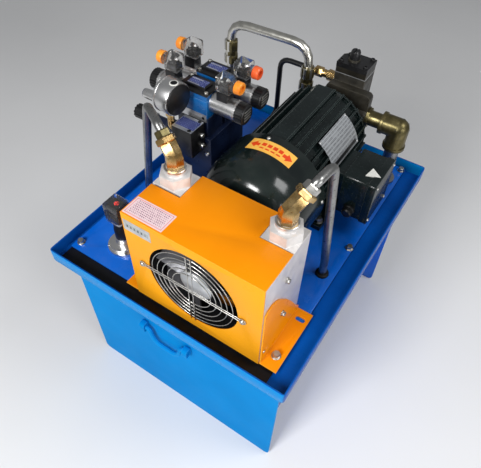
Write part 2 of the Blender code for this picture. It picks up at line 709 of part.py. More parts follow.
def pump():
    y0 = FLANGE_REAR + GAP
    centre = (MOTOR_X, 0.0, MOTOR_Z)
    profile = [(0.0, y0), (0.066, y0), (0.066, y0 + 0.014), (0.054, y0 + 0.020), (0.054, PUMP_REAR)]
    body = lathe(profile + [(0.0, PUMP_REAR)], centre, (0, 1, 0), 28)
    plate = rounded_box(0.0185, 0.1175, 0.243, 0.2625, 0.440, 0.585, 0.010, "Y")
    block = extrusion(control_outline(), "Z", 0.520, PUMP_BLOCK_TOP)
    port = rod((0.085, SUCTION_Y, SUCTION_Z), (0.1175, SUCTION_Y, SUCTION_Z), 0.0225, 24)
    hollow = [(0.0, y0 - 0.01), (0.0185, y0 - 0.01), (0.0185, 0.256), (0.0290, 0.256), (0.0290, 0.288)]
    hollow += [(0.0105, 0.288), (0.0105, 0.300), (0.0, 0.300)]
    cavity = lathe(hollow, centre, (0, 1, 0), 20)
    suction = rod((MOTOR_X + 0.005, SUCTION_Y, SUCTION_Z), (0.13, SUCTION_Y, SUCTION_Z), 0.0118, 18)
    outlet = rod((0.0, DISCHARGE_Y, DISCHARGE_Z), (MOTOR_X, DISCHARGE_Y, DISCHARGE_Z), 0.0065, 16)
    part("pump_body", IRON, [body, plate, block, port], [suction, outlet, cavity])
    x, y = SCREW
    cap = extrusion(control_outline(), "Z", PUMP_BLOCK_TOP + GAP, 0.626)
    neck = drill(x, y, 0.0125, 0.624, 0.630, 24)
    hole = drill(x, y, 0.0058, 0.600, 0.64, 20)
    part("pump_control_cap", IRON, [cap, neck], [hole])
    turned = [(0.0, 0.606), (0.0052, 0.606), (0.0052, 0.6303), (0.0100, 0.6303), (0.0100, 0.6445)]
    turned += [(0.0085, 0.648), (0.0, 0.648)]
    stem = lathe(turned, (x, y, 0.0), (0, 0, 1), 24)
    across = box(x - 0.0015, x + 0.0015, y - 0.02, y + 0.02, 0.646, 0.66)
    set_joint_origin(part("pump_adjusting_screw", BLACK, [stem], [across]), (x, y, 0.0))
    suction_line()
    pressure_line()


def suction_line():
    """A cast elbow screwed to the pump, and the pipe that hangs from it to a strainer in the tank."""
    x, y, z = SUCTION_X, SUCTION_Y, SUCTION_Z
    ring = rod((0.1178, y, z), (0.1240, y, z), 0.0205, 6)
    nipple = rod((0.1220, y, z), (0.1530, y, z), 0.0160, 20)
    mouth = rod((0.1500, y, z), (0.1570, y, z), 0.0238, 24)
    across = rod((0.1550, y, z), (x, y, z), 0.0215, 24)
    down = drill(x, y, 0.0215, 0.4850, z, 24)
    collar = drill(x, y, 0.0238, 0.4843, 0.4915, 24)
    part("suction_elbow", BRASS, [across, down, ball((x, y, z), 0.0222), ring, nipple, mouth, collar])
    pipe = drill(x, y, 0.0155, 0.132, 0.4840, 20)
    flange = drill(x, y, 0.0240, DECK, DECK + 0.006, 28)
    screen = drill(x, y, 0.0185, 0.075, 0.134, 16)
    part("suction_pipe", STEEL, [pipe, flange, screen])


def pressure_line():
    """The fitting on the side of the control block and the pressure tube to the manifold."""
    y, z = DISCHARGE_Y, DISCHARGE_Z
    adds = []
    for near, far, radius, sides in (
        (GAP, 0.006, 0.0135, 24),
        (0.005, 0.022, 0.0120, 6),
        (0.020, 0.036, 0.0085, 20),
        (0.034, 0.052, 0.0112, 6),
    ):
        adds.append(rod((PUMP_BLOCK[0] - near, y, z), (PUMP_BLOCK[0] - far, y, z), radius, sides))
    part("discharge_fitting", BRASS, adds)
    end = Vector(PRESSURE[-1])
    port_nut = rod(end - Vector((0, GAP, 0)), end + Vector((0, 0.020, 0)), 0.0112, 6)
    part("pressure_tube", BLACK, [tube(PRESSURE, 0.0060, 0.025, 12, 5), port_nut])


def loop_line():
    start = Vector(LOOP[0])
    adds = [tube(LOOP, 0.0098, 0.042, 10, 4)]
    adds.append(rod(start - Vector((0, GAP, 0)), start + Vector((0, 0.022, 0)), 0.0150, 6))
    for x in (LOOP[2][0], LOOP[4][0]):
        adds.append(rod((x, 0.250, 0.546), (x, 0.250, 0.566), 0.0155, 6))
        adds.append(rod((x, 0.250, 0.564), (x, 0.250, 0.578), 0.0128, 18))
        adds.append(rod((x, 0.250, 0.576), (x, 0.250, 0.600), 0.0148, 6))
    adds.append(rod((LOOP[5][0], 0.250, DECK), (LOOP[5][0], 0.250, DECK + 0.005), 0.0190, 24))
    part("loop_tube", STEEL, adds)


def valves():
    x0, x1, y0, y1 = MANIFOLD
    block = rounded_box(x0, x1, y0, y1, DECK, MANIFOLD_TOP, 0.002, "Z", 2)
    ports = []
    for point, radius in ((PRESSURE[-1], 0.0080), (LOOP[0], 0.0100)):
        ports.append(rod((point[0], y1 - 0.02, point[2]), (point[0], y1 + 0.01, point[2]), radius, 16))
    for z in (0.430, 0.500):
        for y in STATION_Y:
            ports.append(rod((x0 - 0.01, y, z), (x0 + 0.02, y, z), 0.0082, 16))
    relief_y, relief_z = RELIEF
    seat = rod((x0 + 0.002, relief_y, relief_z), (-0.178, relief_y, relief_z), 0.0135, 6)
    sleeve = rod((-0.176, relief_y, relief_z), (-0.2235, relief_y, relief_z), 0.0085, 20)
    part("manifold_block", NAVY, [block, seat, sleeve], ports)
    for label, y in zip(STATION, STATION_Y):
        station(label, y)
    gauge_group()


def station(label, y):
    """One sandwich valve with a four-way valve over it, its two solenoids and their plugs."""
    left, right = VALVE_X - 0.034, VALVE_X + 0.033
    z0 = MANIFOLD_TOP + GAP
    body = box(left, right, y - 0.023, y + 0.023, z0, SANDWICH_TOP)
    barrel = rod((left + 0.004, y, 0.600), (-0.205, y, 0.600), 0.0108, 20)
    lock = rod((-0.203, y, 0.600), (-0.214, y, 0.600), 0.0125, 6)
    tip = rod((-0.212, y, 0.600), (-0.2475, y, 0.600), 0.0098, 20, 0.0088)
    part(f"sandwich_valve_{label}", NAVY, [body, barrel, lock, tip])
    low, z = SANDWICH_TOP + GAP, VALVE_Z
    lower = box(VALVE_X - 0.0325, VALVE_X + 0.0325, y - 0.023, y + 0.023, low, z + 0.010)
    upper = box(VALVE_X - 0.0315, VALVE_X + 0.0315, y - 0.0215, y + 0.0215, z + 0.008, z + 0.0225)
    ridge = box(VALVE_X - 0.022, VALVE_X + 0.022, y - 0.012, y + 0.012, z + 0.021, z + 0.0275)
    part(f"valve_body_{label}", VALVE_BLUE, [lower, upper, ridge])
    solenoid(label, "left", -1, y, 0.038, 0.035)
    solenoid(label, "right", 1, y, 0.043, 0.032)


def solenoid(label, side, sign, y, plug_start, plug_rise):
    """A coil with its knurled cap, and the plug on it. Distances run outwards from the valve's middle."""

    def x(distance):
        return VALVE_X + sign * distance

    z0 = VALVE_Z + plug_rise
    coil = rod((x(0.0325 + GAP), y, VALVE_Z), (x(0.0850), y, VALVE_Z), 0.0185, 20)
    a, b = sorted((x(0.0445), x(0.0660)))
    seat = box(a, b, y - 0.011, y + 0.011, VALVE_Z + 0.006, z0 - GAP)
    cap = knurled(x(0.0845), x(0.1020), y, VALVE_Z, 0.0195, 12)
    part(f"solenoid_{label}_{side}", STEEL, [coil, seat, cap])
    a, b = sorted((x(plug_start), x(plug_start + 0.0286)))
    shell = rounded_box(a, b, y - 0.0125, y + 0.0125, z0, z0 + 0.029, 0.004, "Y", 2)
    middle = z0 + 0.0145
    gland = rod((x(plug_start + 0.026), y, middle), (x(plug_start + 0.0475), y, middle), 0.0120, 16)
    part(f"plug_{label}_{side}", CLEAR, [shell, gland])


def knurled(xa, xb, y, z, radius, teeth):
    """A round cap along X with a coarse knurl."""
    outline = []
    for k in range(teeth):
        for shift, r in ((0.0, radius), (0.5, radius), (0.55, radius - 0.0016), (0.95, radius - 0.0016)):
            a = 2 * math.pi * (k + shift) / teeth
            outline.append((y + r * math.cos(a), z + r * math.sin(a)))
    return extrusion(outline, "X", min(xa, xb), max(xa, xb))


def gauge_group():
    """The gauge on its stem and elbow beside the gauge block, its needle, and the relief valve's knob."""
    x, y, z = GAUGE
    block = rounded_box(-0.127, -0.0835, -0.086, -0.0453, 0.560, 0.6160, 0.002, "Z", 2)
    part("gauge_block", BLACK, [block])
    facing = Vector((-math.cos(GAUGE_YAW), math.sin(GAUGE_YAW), 0.0))
    rim = GAUGE_R + 0.0013
    profile = [(0.0, -0.0171), (GAUGE_R - 0.002, -0.0171), (GAUGE_R, -0.0145), (GAUGE_R, 0.0125)]
    profile += [(rim, 0.0130), (rim, 0.0171), (GAUGE_R - 0.0022, 0.0171), (GAUGE_R - 0.0022, 0.0120)]
    case = lathe(profile + [(0.0, 0.0120)], (x, y, z), facing, 28)
    stem_x = -0.1355
    low = z - GAUGE_R
    stem = rod((stem_x, y, low - 0.011), (stem_x, y, low + 0.003), 0.0090, 6)
    neck = rod((stem_x, y, 0.605), (stem_x, y, low - 0.008), 0.0062, 14)
    elbow = rod((stem_x, y, 0.605), (-0.1273, y, 0.605), 0.0072, 14)
    part("pressure_gauge", STEEL, [case, stem, neck, elbow, ball((stem_x, y, 0.605), 0.0078)])
    pivot = Vector(GAUGE) + facing * 0.0134
    hub = rod(pivot - facing * 0.0011, pivot + facing * 0.0011, 0.0030, 16)
    arrow = box(-0.0004, 0.0004, -0.00055, 0.00055, 0.0, 0.0215)
    turn = Matrix.Rotation(-GAUGE_YAW, 4, "Z") @ Matrix.Rotation(math.radians(-135), 4, "X")
    arrow.transform(Matrix.Translation(pivot) @ turn)
    set_joint_origin(part("gauge_needle", BLACK, [hub, arrow]), pivot)
    relief_y, relief_z = RELIEF
    knob = knurled(-0.2238, -0.2570, relief_y, relief_z, 0.0145, 12)
    hole = rod((-0.2200, relief_y, relief_z), (-0.2260, relief_y, relief_z), 0.0050, 12)
    set_joint_origin(part("relief_knob", BLACK, [knob], [hole]), (-0.24, relief_y, relief_z))


def level_switch():
    x, y = SWITCH_X, SWITCH_Y
    flange = drill(x, y, 0.0335, DECK, DECK + 0.006, 28)
    upper = drill(x, y, 0.0285, DECK + 0.0055, DECK + 0.0125, 24)
    neck = drill(x, y, 0.0120, DECK + 0.010, 0.4687, 20)
    stem = drill(x, y, 0.0045, 0.150, DECK + 0.002, 12)
    stops = [drill(x, y, 0.0085, z, z + 0.004, 16) for z in (0.152, 0.356)]
    guide = drill(x, y, 0.0122, DECK - 0.008, DECK + 0.002, 20)
    part("level_switch_stem", STEEL, [flange, upper, neck, guide, stem] + stops)
    head = rounded_box(x - 0.0175, x + 0.0175, y - 0.0175, y + 0.0175, 0.4690, 0.5155, 0.004)
    part("level_switch_head", CLEAR, [head])
    profile = [(0.0052, 0.1563), (0.0120, 0.1563), (0.0120, 0.1963), (0.0052, 0.1963)]
    ring = lathe(profile, (x, y, 0.0), (0, 0, 1), 24)
    set_joint_origin(part("level_switch_float", BLACK, [ring]), (x, y, 0.1763))


reservoir()
handle()
cooler()
returns()
motor()
pump()
loop_line()
valves()
level_switch()
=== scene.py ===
"""Looks for the hydraulic power unit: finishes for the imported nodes, and the small pieces that sit on them.

Metres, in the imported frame: +Z up, the cooler faces -Y and the motor's terminal box faces +X.
"""

import math

import bmesh
import bpy
from mathutils import Matrix, Vector


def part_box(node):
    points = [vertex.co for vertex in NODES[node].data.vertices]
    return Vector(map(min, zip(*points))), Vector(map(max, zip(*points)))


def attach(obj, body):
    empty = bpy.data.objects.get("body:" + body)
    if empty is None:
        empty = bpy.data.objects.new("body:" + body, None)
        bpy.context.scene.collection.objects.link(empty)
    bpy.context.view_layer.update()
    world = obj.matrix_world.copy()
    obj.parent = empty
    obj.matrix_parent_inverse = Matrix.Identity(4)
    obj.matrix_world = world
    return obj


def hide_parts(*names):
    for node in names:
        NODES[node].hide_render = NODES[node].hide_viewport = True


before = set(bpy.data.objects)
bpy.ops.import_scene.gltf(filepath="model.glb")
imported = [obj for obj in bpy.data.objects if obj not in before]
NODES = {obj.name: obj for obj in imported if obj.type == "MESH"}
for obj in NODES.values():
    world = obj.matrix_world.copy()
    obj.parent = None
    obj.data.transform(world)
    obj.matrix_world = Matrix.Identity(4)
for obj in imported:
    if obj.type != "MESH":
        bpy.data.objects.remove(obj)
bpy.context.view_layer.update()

MM = 0.001
LIFT = 0.0002
UP = Vector((0, 0, 1))
STATIONS = ("front", "rear")
SIDES = (("left", -1), ("right", 1))


def middle(node):
    low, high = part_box(node)
    return (low + high) / 2


# -------- places, from the frame

cover_low, cover_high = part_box("cover_plate")
DECK = cover_high.z
shroud_low, shroud_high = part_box("cooler_shroud")
fan = middle("cooler_fan_rotor")
motor = middle("motor_fan_cowl")
cowl_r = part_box("motor_fan_cowl")[1].x - motor.x

# -------- places and sizes that no node gives

# Bolts: a washer's thickness, the feet's heights above the cover, and where the bolts stand.
WASHER = 0.0014
COVER_BOLT_Y = (-0.263, 0.024, 0.302)
FOOT_PLATE = 0.0035
MOTOR_PAD = 0.0118
MOTOR_BOLT_X = 0.086
MOTOR_BOLT_Y = (0.045, 0.165)

# The radius of the motor's fins, under the rating plate.
FIN_R = 0.0965

# The fan guard: wire, outer ring, distance between rings, and the half lengths of the cross.
WIRE_R = 0.0009
GUARD_R = 0.0790
GUARD_PITCH = 0.0105
CROSS_X = 0.0945
CROSS_Z = 0.0840

# The cooler's ports. An adapter rises to its knee, then runs ahead as far as it reaches.
PORT_Y = -0.187
PORT_X = {"left": -0.036, "right": 0.165}
KNEE_Z = 0.662
AHEAD = {"left": Vector((-0.6734, 0.2158, 0.7071)), "right": Vector((0.3709, 0.6020, 0.7071))}
REACH = {"left": 0.0432, "right": 0.0505}

# Tubes: the return tubes' radius, the loop's right leg, its plane, and the foot of its unions.
RETURN_R = 0.0075
LOOP_RIGHT_X = -0.030
LOOP_Y = 0.250
UNION_Z = 0.5458

PUMP_SCREW_X = (0.030, 0.108)
PUMP_SCREW_Z = (0.452, 0.572)

# The axis height of the sandwich valves' adjusters and where their lock nuts start.
SANDWICH_Z = 0.600
ADJUSTER_X = -0.2028

# The gauge's middle, radius and heading, and its stem below.
GAUGE = Vector((-0.1282, -0.0745, 0.6684))
GAUGE_R = 0.0297
GAUGE_YAW = 0.11
FACING = Vector((-math.cos(GAUGE_YAW), math.sin(GAUGE_YAW), 0.0))
STEM_X = -0.1355
STEM_Z = 0.605

# The lights' target, and the camera with its azimuth, elevation and roll in degrees.
LIT_POINT = Vector((0.0, 0.0, 0.45))
CAMERA_AT = (0.3542, -0.6165, 1.1575)
CAMERA_TURN = (31.85, 49.73, 1.85)
SENSOR_MM = 36.0
LENS_MM = 36.80


# -------- node materials


def start_material(name):
    made = bpy.data.materials.new(name)
    made.use_nodes = True
    tree = made.node_tree
    return made, tree, tree.nodes["Principled BSDF"]


def adjust(node, **settings):
    """Sets inputs of a node. An underscore in a setting stands for a space."""
    for name, value in settings.items():
        node.inputs[name.replace("_", " ")].default_value = value
    return node


def node(tree, kind, **settings):
    return adjust(tree.nodes.new("ShaderNode" + kind), **settings)


def place(tree, stretch=(1.0, 1.0, 1.0), turn=(0.0, 0.0, 0.0)):
    """Position in the frame, squeezed along an axis for brushed and drawn surfaces, or turned for print."""
    mapping = node(tree, "Mapping", Scale=stretch, Rotation=turn)
    tree.links.new(node(tree, "TexCoord").outputs["Object"], mapping.inputs["Vector"])
    return mapping.outputs["Vector"]


def noise(tree, vector, scale, detail=4.0):
    made = node(tree, "TexNoise", Scale=scale, Detail=detail)
    tree.links.new(vector, made.inputs["Vector"])
    return made.outputs["Fac"]


def ramp(tree, value, low, high, first, second):
    """A colour that goes from the first to the second as the value goes from low to high."""
    made = node(tree, "ValToRGB")
    for stop, position, colour in zip(made.color_ramp.elements, (low, high), (first, second)):
        stop.position = position
        stop.color = (*colour, 1.0)
    tree.links.new(value, made.inputs["Fac"])
    return made.outputs["Color"]


def scaled(tree, value, low, high, start=0.3, end=0.7):
    made = node(tree, "MapRange", From_Min=start, From_Max=end, To_Min=low, To_Max=high)
    tree.links.new(value, made.inputs["Value"])
    return made.outputs["Result"]


def blended(tree, factor, first, second):
    made = node(tree, "Mix")
    made.data_type = "RGBA"
    tree.links.new(factor, made.inputs["Factor"])
    for socket, value in ((made.inputs["A"], first), (made.inputs["B"], second)):
        if isinstance(value, tuple):
            socket.default_value = (*value, 1.0)
        else:
            tree.links.new(value, socket)
    return made.outputs["Result"]


def product(tree, first, second):
    made = node(tree, "Math")
    made.operation = "MULTIPLY"
    tree.links.new(first, made.inputs[0])
    tree.links.new(second, made.inputs[1])
    return made.outputs["Value"]


def lighter(colour, factor):
    return tuple(min(1.0, channel * factor) for channel in colour)


def bumped(tree, shader, layers):
    """Chains bump nodes from (height, strength, depth) layers into the shader's normal."""
    normal = None
    for height, strength, depth in layers:
        made = node(tree, "Bump", Strength=strength, Distance=depth)
        tree.links.new(height, made.inputs["Height"])
        if normal:
            tree.links.new(normal, made.inputs["Normal"])
        normal = made.outputs["Normal"]
    tree.links.new(normal, shader.inputs["Normal"])


def surface(name, dark, light, metallic=0.0, rough=(0.3, 0.45), patch=14.0, grain=500.0, bump=0.15,
            stretch=(1.0, 1.0, 1.0), coat=0.0, dust=0.0, wear_and_highlight=None, specks=None, gloss=0.5, front=None):
    """A finish with patches of tone, a fine grain, and dust, lighter edges (wear, and on some finishes a
    painted highlight) or specks where it has them.

    Its faces that look forward, along -Y, take the front colour where one is given; that colour is painted
    light, for the lamps that fall on those faces.
    """
    made, tree, shader = start_material(name)
    plain = place(tree)
    fine = noise(tree, place(tree, stretch), grain, 3.0)
    broad = noise(tree, plain, patch, 5.0)
    colour = ramp(tree, broad, 0.3, 0.7, dark, light)
    normal = node(tree, "NewGeometry").outputs["Normal"]
    split = node(tree, "SeparateXYZ")
    tree.links.new(normal, split.inputs["Vector"])
    # Painted light: faces that look forward blend to the lighter front colour.
    if front:
        forward = scaled(tree, split.outputs["Y"], 1.0, 0.0, -0.9, -0.5)
        colour = blended(tree, forward, colour, ramp(tree, broad, 0.3, 0.7, front, lighter(front, 1.08)))
    if specks:
        spots = scaled(tree, noise(tree, plain, 260.0, 2.0), 0.0, 1.0, 0.62, 0.68)
        colour = blended(tree, spots, colour, specks)
    # Lighter edges: wear, and on the orange and the motor's enamel a painted highlight along the edges.
    if wear_and_highlight:
        rounded = node(tree, "Bevel", Radius=1.2 * MM)
        rounded.samples = 4
        agreement = node(tree, "VectorMath")
        agreement.operation = "DOT_PRODUCT"
        tree.links.new(rounded.outputs["Normal"], agreement.inputs[0])
        tree.links.new(normal, agreement.inputs[1])
        edges = scaled(tree, agreement.outputs["Value"], 0.75, 0.0, 0.85, 0.985)
        colour = blended(tree, product(tree, edges, scaled(tree, fine, 0.3, 1.0)), colour, wear_and_highlight)
    if dust:
        upward = scaled(tree, split.outputs["Z"], 0.0, dust, 0.5, 1.0)
        patches = scaled(tree, noise(tree, plain, 38.0, 8.0), 0.0, 1.0, 0.45, 0.75)
        colour = blended(tree, product(tree, upward, patches), colour, (0.42, 0.40, 0.37))
    tree.links.new(colour, shader.inputs["Base Color"])
    tree.links.new(scaled(tree, noise(tree, plain, patch * 3.1, 6.0), *rough), shader.inputs["Roughness"])
    adjust(shader, Metallic=metallic, Specular_IOR_Level=gloss, Coat_Weight=coat, Coat_Roughness=0.12)
    bumped(tree, shader, [(broad, bump * 0.35, 0.0006), (fine, bump, 0.0003)])
    return made


def clear(name, tint, rough=0.05):
    """Clear moulded plastic with faint flow marks."""
    made, tree, shader = start_material(name)
    marks = noise(tree, place(tree), 120.0, 3.0)
    colour = ramp(tree, marks, 0.3, 0.7, tint, lighter(tint, 1.15))
    tree.links.new(colour, shader.inputs["Base Color"])
    tree.links.new(scaled(tree, marks, rough * 0.5, rough * 1.6), shader.inputs["Roughness"])
    adjust(shader, Transmission_Weight=0.97, IOR=1.14, Coat_Weight=0.7, Coat_Roughness=0.06)
    bumped(tree, shader, [(marks, 0.05, 0.0003)])
    return made


def printed(name, ground, mark, turn=(0, 0, 0), row=4.0 * MM, wide=0.85, metallic=0.0, rough=0.4):
    """A label with rows of plain dashes, some darker than others, where the real one carries text."""
    made, tree, shader = start_material(name)
    ground, mark = (*ground, 1.0), (*mark, 1.0)
    dashes = node(tree, "TexBrick", Color1=ground, Color2=mark, Mortar=ground, Scale=1.0, Bias=0.4,
                  Brick_Width=row * wide, Row_Height=row, Mortar_Size=row * 0.22, Mortar_Smooth=0.1)
    dashes.offset = 0.37
    tree.links.new(place(tree, turn=turn), dashes.inputs["Vector"])
    tree.links.new(dashes.outputs["Color"], shader.inputs["Base Color"])
    flecks = noise(tree, place(tree), 420.0, 2.0)
    tree.links.new(scaled(tree, flecks, rough, rough + 0.12), shader.inputs["Roughness"])
    adjust(shader, Metallic=metallic)
    bumped(tree, shader, [(flecks, 0.08, 0.0002)])
    return made


BLUE = surface("blue_paint", (0.001, 0.098, 0.50), (0.002, 0.128, 0.62), rough=(0.16, 0.28), patch=9.0,
               grain=420.0, bump=0.08, dust=0.03, wear_and_highlight=(0.04, 0.22, 0.60), gloss=0.35)
# A lighter copy of the blue paint: painted light, for the front plate and handle that face the lamps.
LIT_FRONT_BLUE = surface("front_blue_painted_light", (0.001, 0.208, 0.555), (0.002, 0.245, 0.63), rough=(0.30, 0.42),
                     patch=7.0, grain=380.0, bump=0.08, wear_and_highlight=(0.12, 0.42, 0.80), gloss=0.008)
# A darker copy of the blue paint: painted shade in the tray's channels, with its forward faces in a lighter
# colour that is painted light.
TRAY_BLUE_SHADE_AND_LIGHT = surface("tray_painted_shade_and_light", (0.001, 0.060, 0.30), (0.002, 0.085, 0.40), rough=(0.22, 0.34), patch=9.0,
                    grain=420.0, bump=0.08, wear_and_highlight=(0.04, 0.22, 0.60), gloss=0.05, front=(0.002, 0.225, 0.59))
# The front colour is painted light on the forward faces, and the bright edge colour is a painted highlight
# along the folds.
ORANGE = surface("orange_powder_coat", (0.76, 0.225, 0.001), (0.83, 0.260, 0.002), rough=(0.26, 0.38),
                 patch=11.0, grain=900.0, bump=0.08, wear_and_highlight=(1.0, 0.62, 0.14), gloss=0.1,
                 front=(0.80, 0.33, 0.010))
CAST = surface("cast_aluminium", (0.56, 0.54, 0.53), (0.82, 0.79, 0.77), metallic=0.4, rough=(0.30, 0.50),
               patch=45.0, grain=260.0, bump=0.5, wear_and_highlight=(0.92, 0.90, 0.88))
# Bare aluminium whose pinkish tint is a painted reflection of the pale ground on the cooler's sides.
PINKISH_SIDE_METAL = surface("aluminium_with_painted_reflection", (0.70, 0.66, 0.66), (0.86, 0.82, 0.81), metallic=0.65, rough=(0.30, 0.46),
               patch=20.0, grain=300.0, bump=0.12, stretch=(1.0, 0.12, 1.0))
CORE = surface("core_fins", (0.16, 0.16, 0.17), (0.34, 0.34, 0.35), metallic=0.9, rough=(0.4, 0.6),
               bump=0.5, stretch=(1.0, 1.0, 0.1))
STEEL = surface("tube_steel", (0.24, 0.24, 0.235), (0.40, 0.40, 0.39), metallic=1.0, rough=(0.28, 0.42),
                patch=30.0, grain=900.0, bump=0.10, specks=(0.12, 0.115, 0.11))
LOOP_STEEL = surface("loop_steel", (0.52, 0.51, 0.46), (0.72, 0.70, 0.64), metallic=1.0, rough=(0.24, 0.38),
                     patch=24.0, grain=900.0, bump=0.06)
CHROME = surface("bright_steel", (0.60, 0.60, 0.60), (0.76, 0.75, 0.74), metallic=1.0, rough=(0.26, 0.34),
                 patch=16.0, grain=600.0, bump=0.03, stretch=(0.1, 1.0, 1.0))
ZINC = surface("zinc_plate", (0.40, 0.40, 0.38), (0.62, 0.60, 0.56), metallic=1.0, rough=(0.28, 0.42),
               patch=70.0, grain=900.0, bump=0.10)
BRASS = surface("brass", (0.42, 0.26, 0.09), (0.68, 0.48, 0.22), metallic=1.0, rough=(0.20, 0.34),
                patch=60.0, grain=700.0, bump=0.08)
OLIVE = surface("olive_fitting", (0.085, 0.072, 0.030), (0.20, 0.165, 0.075), metallic=0.9,
                rough=(0.28, 0.42), patch=55.0, grain=600.0, bump=0.18, specks=(0.09, 0.08, 0.05))
# The light edge colour is a painted highlight along the fin edges.
GREEN = surface("motor_enamel", (0.002, 0.005, 0.005), (0.007, 0.012, 0.012), rough=(0.16, 0.30), patch=18.0,
                grain=360.0, bump=0.22, wear_and_highlight=(0.17, 0.21, 0.20), specks=(0.014, 0.020, 0.020), gloss=0.35)
DOME = surface("cowl_enamel", (0.003, 0.006, 0.006), (0.010, 0.016, 0.014), rough=(0.10, 0.22), patch=12.0,
               grain=300.0, bump=0.12, dust=0.02)
BLACK = surface("black_plastic", (0.003, 0.003, 0.0035), (0.009, 0.009, 0.010), rough=(0.30, 0.46),
                patch=40.0, grain=900.0, bump=0.15)
RUBBER = surface("rubber", (0.003, 0.003, 0.004), (0.008, 0.008, 0.010), rough=(0.40, 0.60), patch=30.0,
                 bump=0.25, gloss=0.2)
IRON = surface("pump_paint", (0.012, 0.011, 0.008), (0.032, 0.028, 0.020), rough=(0.32, 0.5), metallic=0.2,
               patch=35.0, grain=420.0, bump=0.4, dust=0.04, wear_and_highlight=(0.18, 0.16, 0.11))
NAVY = surface("manifold_finish", (0.003, 0.006, 0.020), (0.008, 0.016, 0.048), rough=(0.26, 0.42),
               patch=26.0, grain=600.0, bump=0.15, wear_and_highlight=(0.14, 0.18, 0.28), gloss=0.35)
VALVE = surface("valve_enamel", (0.002, 0.075, 0.26), (0.005, 0.125, 0.38), rough=(0.24, 0.38), patch=40.0,
                bump=0.25, wear_and_highlight=(0.20, 0.40, 0.62), gloss=0.4)
CLEAR = clear("clear_plastic", (0.86, 0.85, 0.83))
AMBER = surface("orange_gland", (0.78, 0.20, 0.012), (0.95, 0.36, 0.03), rough=(0.22, 0.36), patch=90.0,
                bump=0.1, coat=0.3)
REDDISH = surface("red_gland", (0.70, 0.085, 0.02), (0.88, 0.14, 0.03), rough=(0.25, 0.4), patch=90.0,
                  bump=0.1, coat=0.3)
LAMP = surface("red_lamp", (0.55, 0.01, 0.01), (0.85, 0.04, 0.03), rough=(0.12, 0.2), patch=120.0,
               grain=700.0, bump=0.05, coat=0.6)
FAN = surface("fan_blades", (0.06, 0.06, 0.065), (0.13, 0.13, 0.14), metallic=0.6, rough=(0.30, 0.45),
              patch=30.0, bump=0.1)
GUARD = surface("guard_wire", (0.48, 0.47, 0.44), (0.66, 0.64, 0.60), metallic=1.0, rough=(0.26, 0.36),
                patch=60.0, grain=900.0, bump=0.06)
SILVER = surface("label_silver", (0.50, 0.51, 0.53), (0.70, 0.71, 0.72), metallic=0.8, rough=(0.28, 0.42),
                 patch=60.0, grain=800.0, bump=0.05)


def ink(name, dark, light, rough=(0.35, 0.5), patch=60.0, bump=0.05):
    """A printed or painted flat: a thin finish with a fine grain."""
    return surface(name, dark, light, rough=rough, patch=patch, bump=bump)


PATCH_YELLOW = ink("label_yellow", (0.84, 0.40, 0.05), (0.93, 0.52, 0.09))
PATCH_RED = ink("label_red", (0.62, 0.035, 0.002), (0.78, 0.065, 0.004))
PATCH_PALE = ink("label_pale", (0.66, 0.66, 0.62), (0.82, 0.81, 0.76), (0.4, 0.55))
DIAL = ink("dial_white", (0.78, 0.78, 0.76), (0.86, 0.86, 0.84), (0.4, 0.5), 50.0, 0.03)
PINK = (0.78, 0.60, 0.62)
STICKER_GROUND = ink("sticker_ground", (0.74, 0.56, 0.58), PINK, (0.4, 0.55), 30.0, 0.04)
STICKER_LINE = ink("sticker_line", (0.62, 0.16, 0.16), (0.74, 0.24, 0.22), (0.4, 0.55), 60.0, 0.04)
STICKER = printed("sticker_print", PINK, (0.16, 0.03, 0.10), row=3.9 * MM)
RATING = printed("rating_print", (0.46, 0.48, 0.50), (0.08, 0.08, 0.09), (0, 0, math.radians(90)), 4.6 * MM,
                 wide=0.8, metallic=0.6, rough=0.34)
VALVE_LABEL = printed("valve_label", (0.008, 0.016, 0.14), (0.24, 0.28, 0.46), row=4.0 * MM, wide=0.9)
FRONT_TAG = printed("front_tag", (0.40, 0.42, 0.42), (0.05, 0.06, 0.06), (math.radians(90), 0, 0), 9.4 * MM,
                    wide=0.75, metallic=0.2)

# -------- mesh code


def turned(direction):
    """Rotation that turns +Z onto the direction."""
    return Vector((0, 0, 1)).rotation_difference(Vector(direction).normalized()).to_matrix().to_4x4()


def outward(made):
    bmesh.ops.remove_doubles(made, verts=made.verts, dist=1e-7)
    bmesh.ops.recalc_face_normals(made, faces=made.faces)
    return made


def lathe(profile, origin=(0, 0, 0), direction=(0, 0, 1), sides=48, phase=0.0):
    """A solid of revolution from (radius, height) pairs. Six sides and a phase make a chamfered hexagon."""
    made = bmesh.new()
    turn = Matrix.Translation(origin) @ turned(direction)
    rings = []
    for radius, height in profile:
        if radius < 1e-7:
            rings.append([made.verts.new(turn @ Vector((0, 0, height)))])
            continue
        ring = []
        for a in (phase + 2 * math.pi * k / sides for k in range(sides)):
            ring.append(made.verts.new(turn @ Vector((radius * math.cos(a), radius * math.sin(a), height))))
        rings.append(ring)
    pairs = list(zip(rings, rings[1:]))
    if len(rings[0]) > 1:
        pairs.append((rings[-1], rings[0]))
    for first, second in pairs:
        for k in range(sides):
            n = (k + 1) % sides
            ends = ((first, k), (first, n), (second, n), (second, k))
            corners = list(dict.fromkeys(ring[place % len(ring)] for ring, place in ends))
            if len(corners) > 2:
                made.faces.new(corners)
    return outward(made)


def block(low, high, bevel=0.0006, segments=2):
    """A box between two corners with rounded edges."""
    made = bmesh.new()
    low, high = Vector(low), Vector(high)
    place_and_size = Matrix.Translation((low + high) / 2) @ Matrix.Diagonal((*(high - low), 1.0))
    bmesh.ops.create_cube(made, size=1.0, matrix=place_and_size)
    if bevel:
        edges = list(made.edges)
        bmesh.ops.bevel(made, geom=edges, offset=bevel, segments=segments, profile=0.5, affect="EDGES")
    return made


def sheet(low, high):
    """A thin box with square edges."""
    return block(low, high, 0.0)


